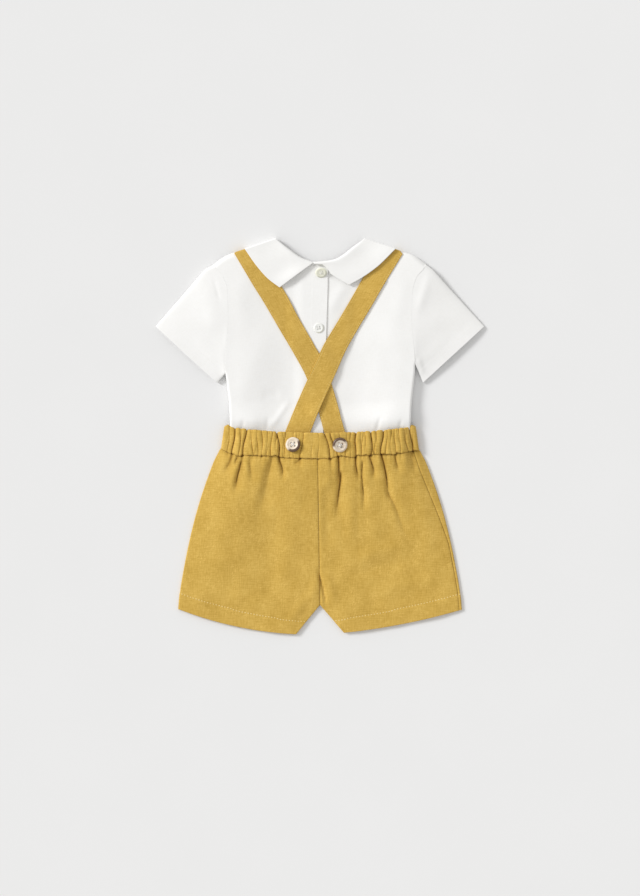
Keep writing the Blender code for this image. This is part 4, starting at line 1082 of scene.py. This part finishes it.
def make_leg(side, band_line):
    """The back and front panels of a leg, tucked up under the waistband along its line. At the right the side
    seam shows from the back, at the left it is under. Each panel is laid out from the centre seam, over the
    fold at the side where it has one."""
    v = steps(150, 198)[:, None]
    side_line = leg_plan(side, 1, v)
    width = np.linalg.norm(side_line - leg_plan(side, 0, v), axis=-1)
    inset = 1 - read(SIDE_SEAM, "y", "inset", side_line[..., 1]) / width
    gap = (SEAM + 0.05) / width
    low = LINEN / 2

    def back_z(u):
        rise = smooth(0.5 + (1 - u) * width / mix(40, 66, smooth(v / 0.3))) * 2 - 1
        open_leg = smooth((v - CROTCH_AT + 0.03) / 0.05)
        inseam = mix(1, dome(u * width, 22), open_leg)
        edge = mix(SIDE_EDGE, INSEAM_EDGE, 1 - rise)
        centre = mix(0.55, 1.3, smooth((v - 0.6) / 0.2)) * (1.0 if side > 0 else 0.65)
        centre = centre * bell(u * width, 1.4) * (1 - open_leg)
        return mix(edge, shorts_height(*split(leg_plan(side, u, v))), rise * inseam) + LINEN / 2 - centre

    def under_z(u):
        x, y = split(leg_plan(side, u, v))
        dent = 0.3 * np.abs(uneven(x, y, 26, 61)) * dome(u * width, 10)
        return low + dent * dome((1 - u) * width, 10) * smooth(below_band(x, y) / 8)

    def flat_part(u, z):
        return stack(*split(leg_plan(side, u, v)), z)

    def fold_part(angles):
        high = back_z(np.ones((1, 1)))
        half = (high - low) / 2
        x, y = split(side_line)
        return stack(x + side * half * np.sin(angles), y, (high + low) / 2 + half * np.cos(angles))

    turn = np.linspace(0, math.pi, 9)[1:-1]
    even = np.linspace(0, 1, 96)[None, :]
    under = np.concatenate((SEAM_POINTS, mix(EVEN_FROM, 1, even[:, ::2])), 1)
    if side < 0:
        u = np.concatenate((SEAM_POINTS, mix(EVEN_FROM, 1, even)), 1)
        rest = mix(1, inset, np.linspace(0, 1, 6))
        back = np.concatenate((flat_part(u, back_z(u)), fold_part(turn), flat_part(rest, low)), 1)
        under = under * (inset - gap)
        front = flat_part(under, under_z(under))
    else:
        u = np.concatenate((SEAM_POINTS, mix(EVEN_FROM, 1 - EVEN_FROM, even), 1 - SEAM_POINTS[:, ::-1]), 1)
        u = u * (inset - gap)
        back = flat_part(u, back_z(u) - 0.5 * bell((inset - u) * width, 1.1))
        rest = mix(1, inset, np.array([0, 0.2, 0.4, 0.6, 0.8, 0.9, 0.97, 1]))
        over = flat_part(rest, back_z(rest) - 0.35 * bell((rest - inset) * width, 1.1))
        front = np.concatenate((flat_part(under, under_z(under)), fold_part(math.pi - turn), over), 1)

    def to_hem(grid):
        return np.linalg.norm(grid - grid[-1:], axis=2)

    for part, other, grid in (("back", "front", back), ("front", "back", front)):
        name = f"shorts_{part}_{SIDES[side]}"
        on_back = smooth(grid[:1, :, 2] - BACK_FROM)
        x, y, z = split(grid[:1])
        under_band = np.interp(x, band_line[:, 0], band_line[:, 2]) - (BAND + LINEN) / 2 - 0.1
        tucked = stack(x, y + 0.05 + TUCK * on_back, mix(z, under_band, on_back))
        dip = 0.38 * (1 - dome(np.linalg.norm(grid - grid[:1], axis=2), 0.7))
        grid = np.concatenate((tucked, grid))
        x, y, z = split(grid)
        dip = np.insert(dip, 0, 0, 0) * (z > LINEN)
        hem = 0.28 * plateau(to_hem(grid), HEM_DEPTH - 0.6, 1.2) - 0.4 * bell(to_hem(grid) - HEM_DEPTH, 0.7)
        relief = hem * smooth((z - 0.6) / 0.6) - dip
        # Painted shade darkens the shorts' colour in their creases and along the seam below the waistband.
        piece, face = cloth(name, grid, LINEN, MUSTARD, flip=(part == "back") == (side > 0), relief=relief,
                            crease_shade=shorts_shade(x, y) * (z > LINEN))
        place = np.arange(1.0, face.shape[1] - 2, 0.5)
        near = np.argmin(np.abs(to_hem(face) - HEM_DEPTH), axis=0)
        rows = np.interp(place, np.arange(len(near)), near)
        rows = np.convolve(np.pad(rows, 4, mode="edge"), np.ones(9) / 9, "valid")
        line = line_on(face, rows, place)
        line[:, 2] = np.maximum(line[:, 2], 0.5)
        sewn = stitches(name + "_hem_stitches", [line], HEM_STITCH, MUSTARD_THREAD)
        cut(piece, "shorts_" + part)


def drill(made, spots, radius, deep):
    """Cuts round holes of the given radius through a button."""
    turn = np.linspace(0, 2 * math.pi, BUTTON_SIDES // 4, endpoint=False)
    index = np.arange(2 * len(turn)).reshape(2, -1)
    points, faces = [], []
    for x, y in spots:
        faces += tube_faces(index + len(points) * index.size)
        points.append(stack(x + radius * np.cos(turn), y + radius * np.sin(turn), [[deep + 1], [-1]]))
    mesh = bpy.data.meshes.new(made.name + "_drill")
    mesh.from_pydata(np.concatenate(points).reshape(-1, 3) * MM, [], faces)
    tool = add_object(made.name + "_drill", mesh)
    tool.location, tool.rotation_euler = made.location, made.rotation_euler
    holes = made.modifiers.new("holes", "BOOLEAN")
    holes.operation, holes.object, holes.solver = "DIFFERENCE", tool, "EXACT"
    drilled = bpy.data.meshes.new_from_object(made.evaluated_get(bpy.context.evaluated_depsgraph_get()))
    made.modifiers.clear()
    made.data = drilled
    bpy.data.objects.remove(tool)
    if "cloth" in drilled.attributes:
        drilled.attributes.remove(drilled.attributes["cloth"])
    corners = np.empty(len(drilled.vertices) * 3)
    drilled.vertices.foreach_get("co", corners)
    drilled.attributes.new("cloth", "FLOAT_VECTOR", "POINT").data.foreach_set("vector", corners)
    drilled.shade_smooth()
    drilled.set_sharp_from_angle(angle=math.radians(35))


def button(name, x, y, radius, thick, height, lean, finish):
    """A round button with a raised rim, four drilled holes and the thread that holds it."""
    turn = np.linspace(0, 2 * math.pi, BUTTON_SIDES, endpoint=False)
    out = np.maximum(radius * BUTTON_PROFILE["out"], 0.001)[:, None]
    up = thick * BUTTON_PROFILE["up"][:, None]
    points = stack(out * np.cos(turn), out * np.sin(turn), up).reshape(-1, 3)
    index = np.arange(len(points)).reshape(-1, BUTTON_SIDES)
    made = build(name + "_turned", points, tube_faces(index), points, finish, name)
    made.location = Vector((x, y, height)) * MM
    made.rotation_euler = lean
    corners = math.pi / 4 + np.arange(4) * math.pi / 2
    spots = 0.31 * radius * stack(np.cos(corners), np.sin(corners))
    drill(made, spots, 0.125 * radius, thick)

    girth = radius * 0.045
    curve = bpy.data.curves.new(name + "_thread", "CURVE")
    curve.dimensions = "3D"
    curve.bevel_depth = girth * MM
    curve.bevel_resolution = 3
    curve.use_fill_caps = True
    for first, second, over in ((0, 2, 0), (1, 3, 1.6 * girth)):
        top = thick * BUTTON_PROFILE["up"][0] + over
        path = [(0, -THREAD_REACH), (0, top - girth), (0.2, top + girth)]
        path += [(1 - share, z) for share, z in path[::-1]]
        spline = curve.splines.new("POLY")
        spline.points.add(len(path) - 1)
        for point, (share, z) in zip(spline.points, path):
            point.co = (*(mix(spots[first], spots[second], share) * MM), z * MM, 1)
    strands = add_object(name + "_thread", curve)
    strands.location, strands.rotation_euler = made.location, made.rotation_euler
    material, _ = WHITE_THREAD
    curve.materials.append(material)
    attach(strands, "root")
    _, slot = finish


def make_buttons():
    """Two shell buttons on the placket and two horn ones where the straps go into the waistband."""
    for name, radius, lift, lean, finish in (
            # The top button takes the yellower shell copy that paints its shade.
            ("shirt_button_top", 6.4, 2.9, (0.58, 0.06, 0), SHELL_SHADED),
            ("shirt_button_low", 5.6, 0, (0.04, 0.03, 0.2), SHELL)):
        x, y = SHIRT_BUTTONS[name]
        height = back_height(x, y) + placket_lift(x) + POPLIN + 0.2
        button(name, x, y, radius, SHELL_THICK, float(height) + lift, lean, finish)
    for name, lean in (("strap_button_left", (-0.2, -0.16, 0.1)),
                       ("strap_button_right", (-0.18, -0.14, 2.9))):
        x, y = STRAP_BUTTONS[name]
        height = band_height(x) + 0.7 * BACK_GATHER + BAND + 0.6
        button(name, x, y, HORN_RADIUS, HORN_THICK, float(height), lean, HORN)


def make_room():
    """A pale table, soft light from the upper left, and the camera straight above."""
    mesh = bpy.data.meshes.new("table_top")
    mesh.from_pydata([(-3, -3, 0), (3, -3, 0), (3, 3, 0), (-3, 3, 0)], [], [(0, 1, 2, 3)])
    mesh.materials.append(table_top())
    floor = add_object("table_top", mesh)
    floor.location.z = -0.1 * MM

    sun = bpy.data.lights.new("key", "SUN")
    sun.energy = KEY_POWER
    sun.angle = math.radians(KEY_SPREAD)
    add_object("key", sun).rotation_euler = Vector(KEY_RAY).to_track_quat("-Z", "Y").to_euler()

    world = bpy.data.worlds.new("studio")
    world.use_nodes = True
    sky = world.node_tree.nodes["Background"]
    sky.inputs["Color"].default_value = SKY_COLOUR
    sky.inputs["Strength"].default_value = SKY_POWER
    bpy.context.scene.world = world
    bpy.context.scene.view_settings.view_transform = "Standard"

    lens = bpy.data.cameras.new("camera")
    lens.lens = CAMERA_LENS
    camera = add_object("camera", lens)
    camera.location = (0, CAMERA_Y * MM, CAMERA_Z * MM)
    bpy.context.scene.camera = camera


make_room()
make_shirt()
make_band(False)
waist_line = make_band(True)
for which in SIDES:
    make_sleeve(which)
    make_collar(which)
    make_leg(which, waist_line)
    make_strap(which)
make_buttons()
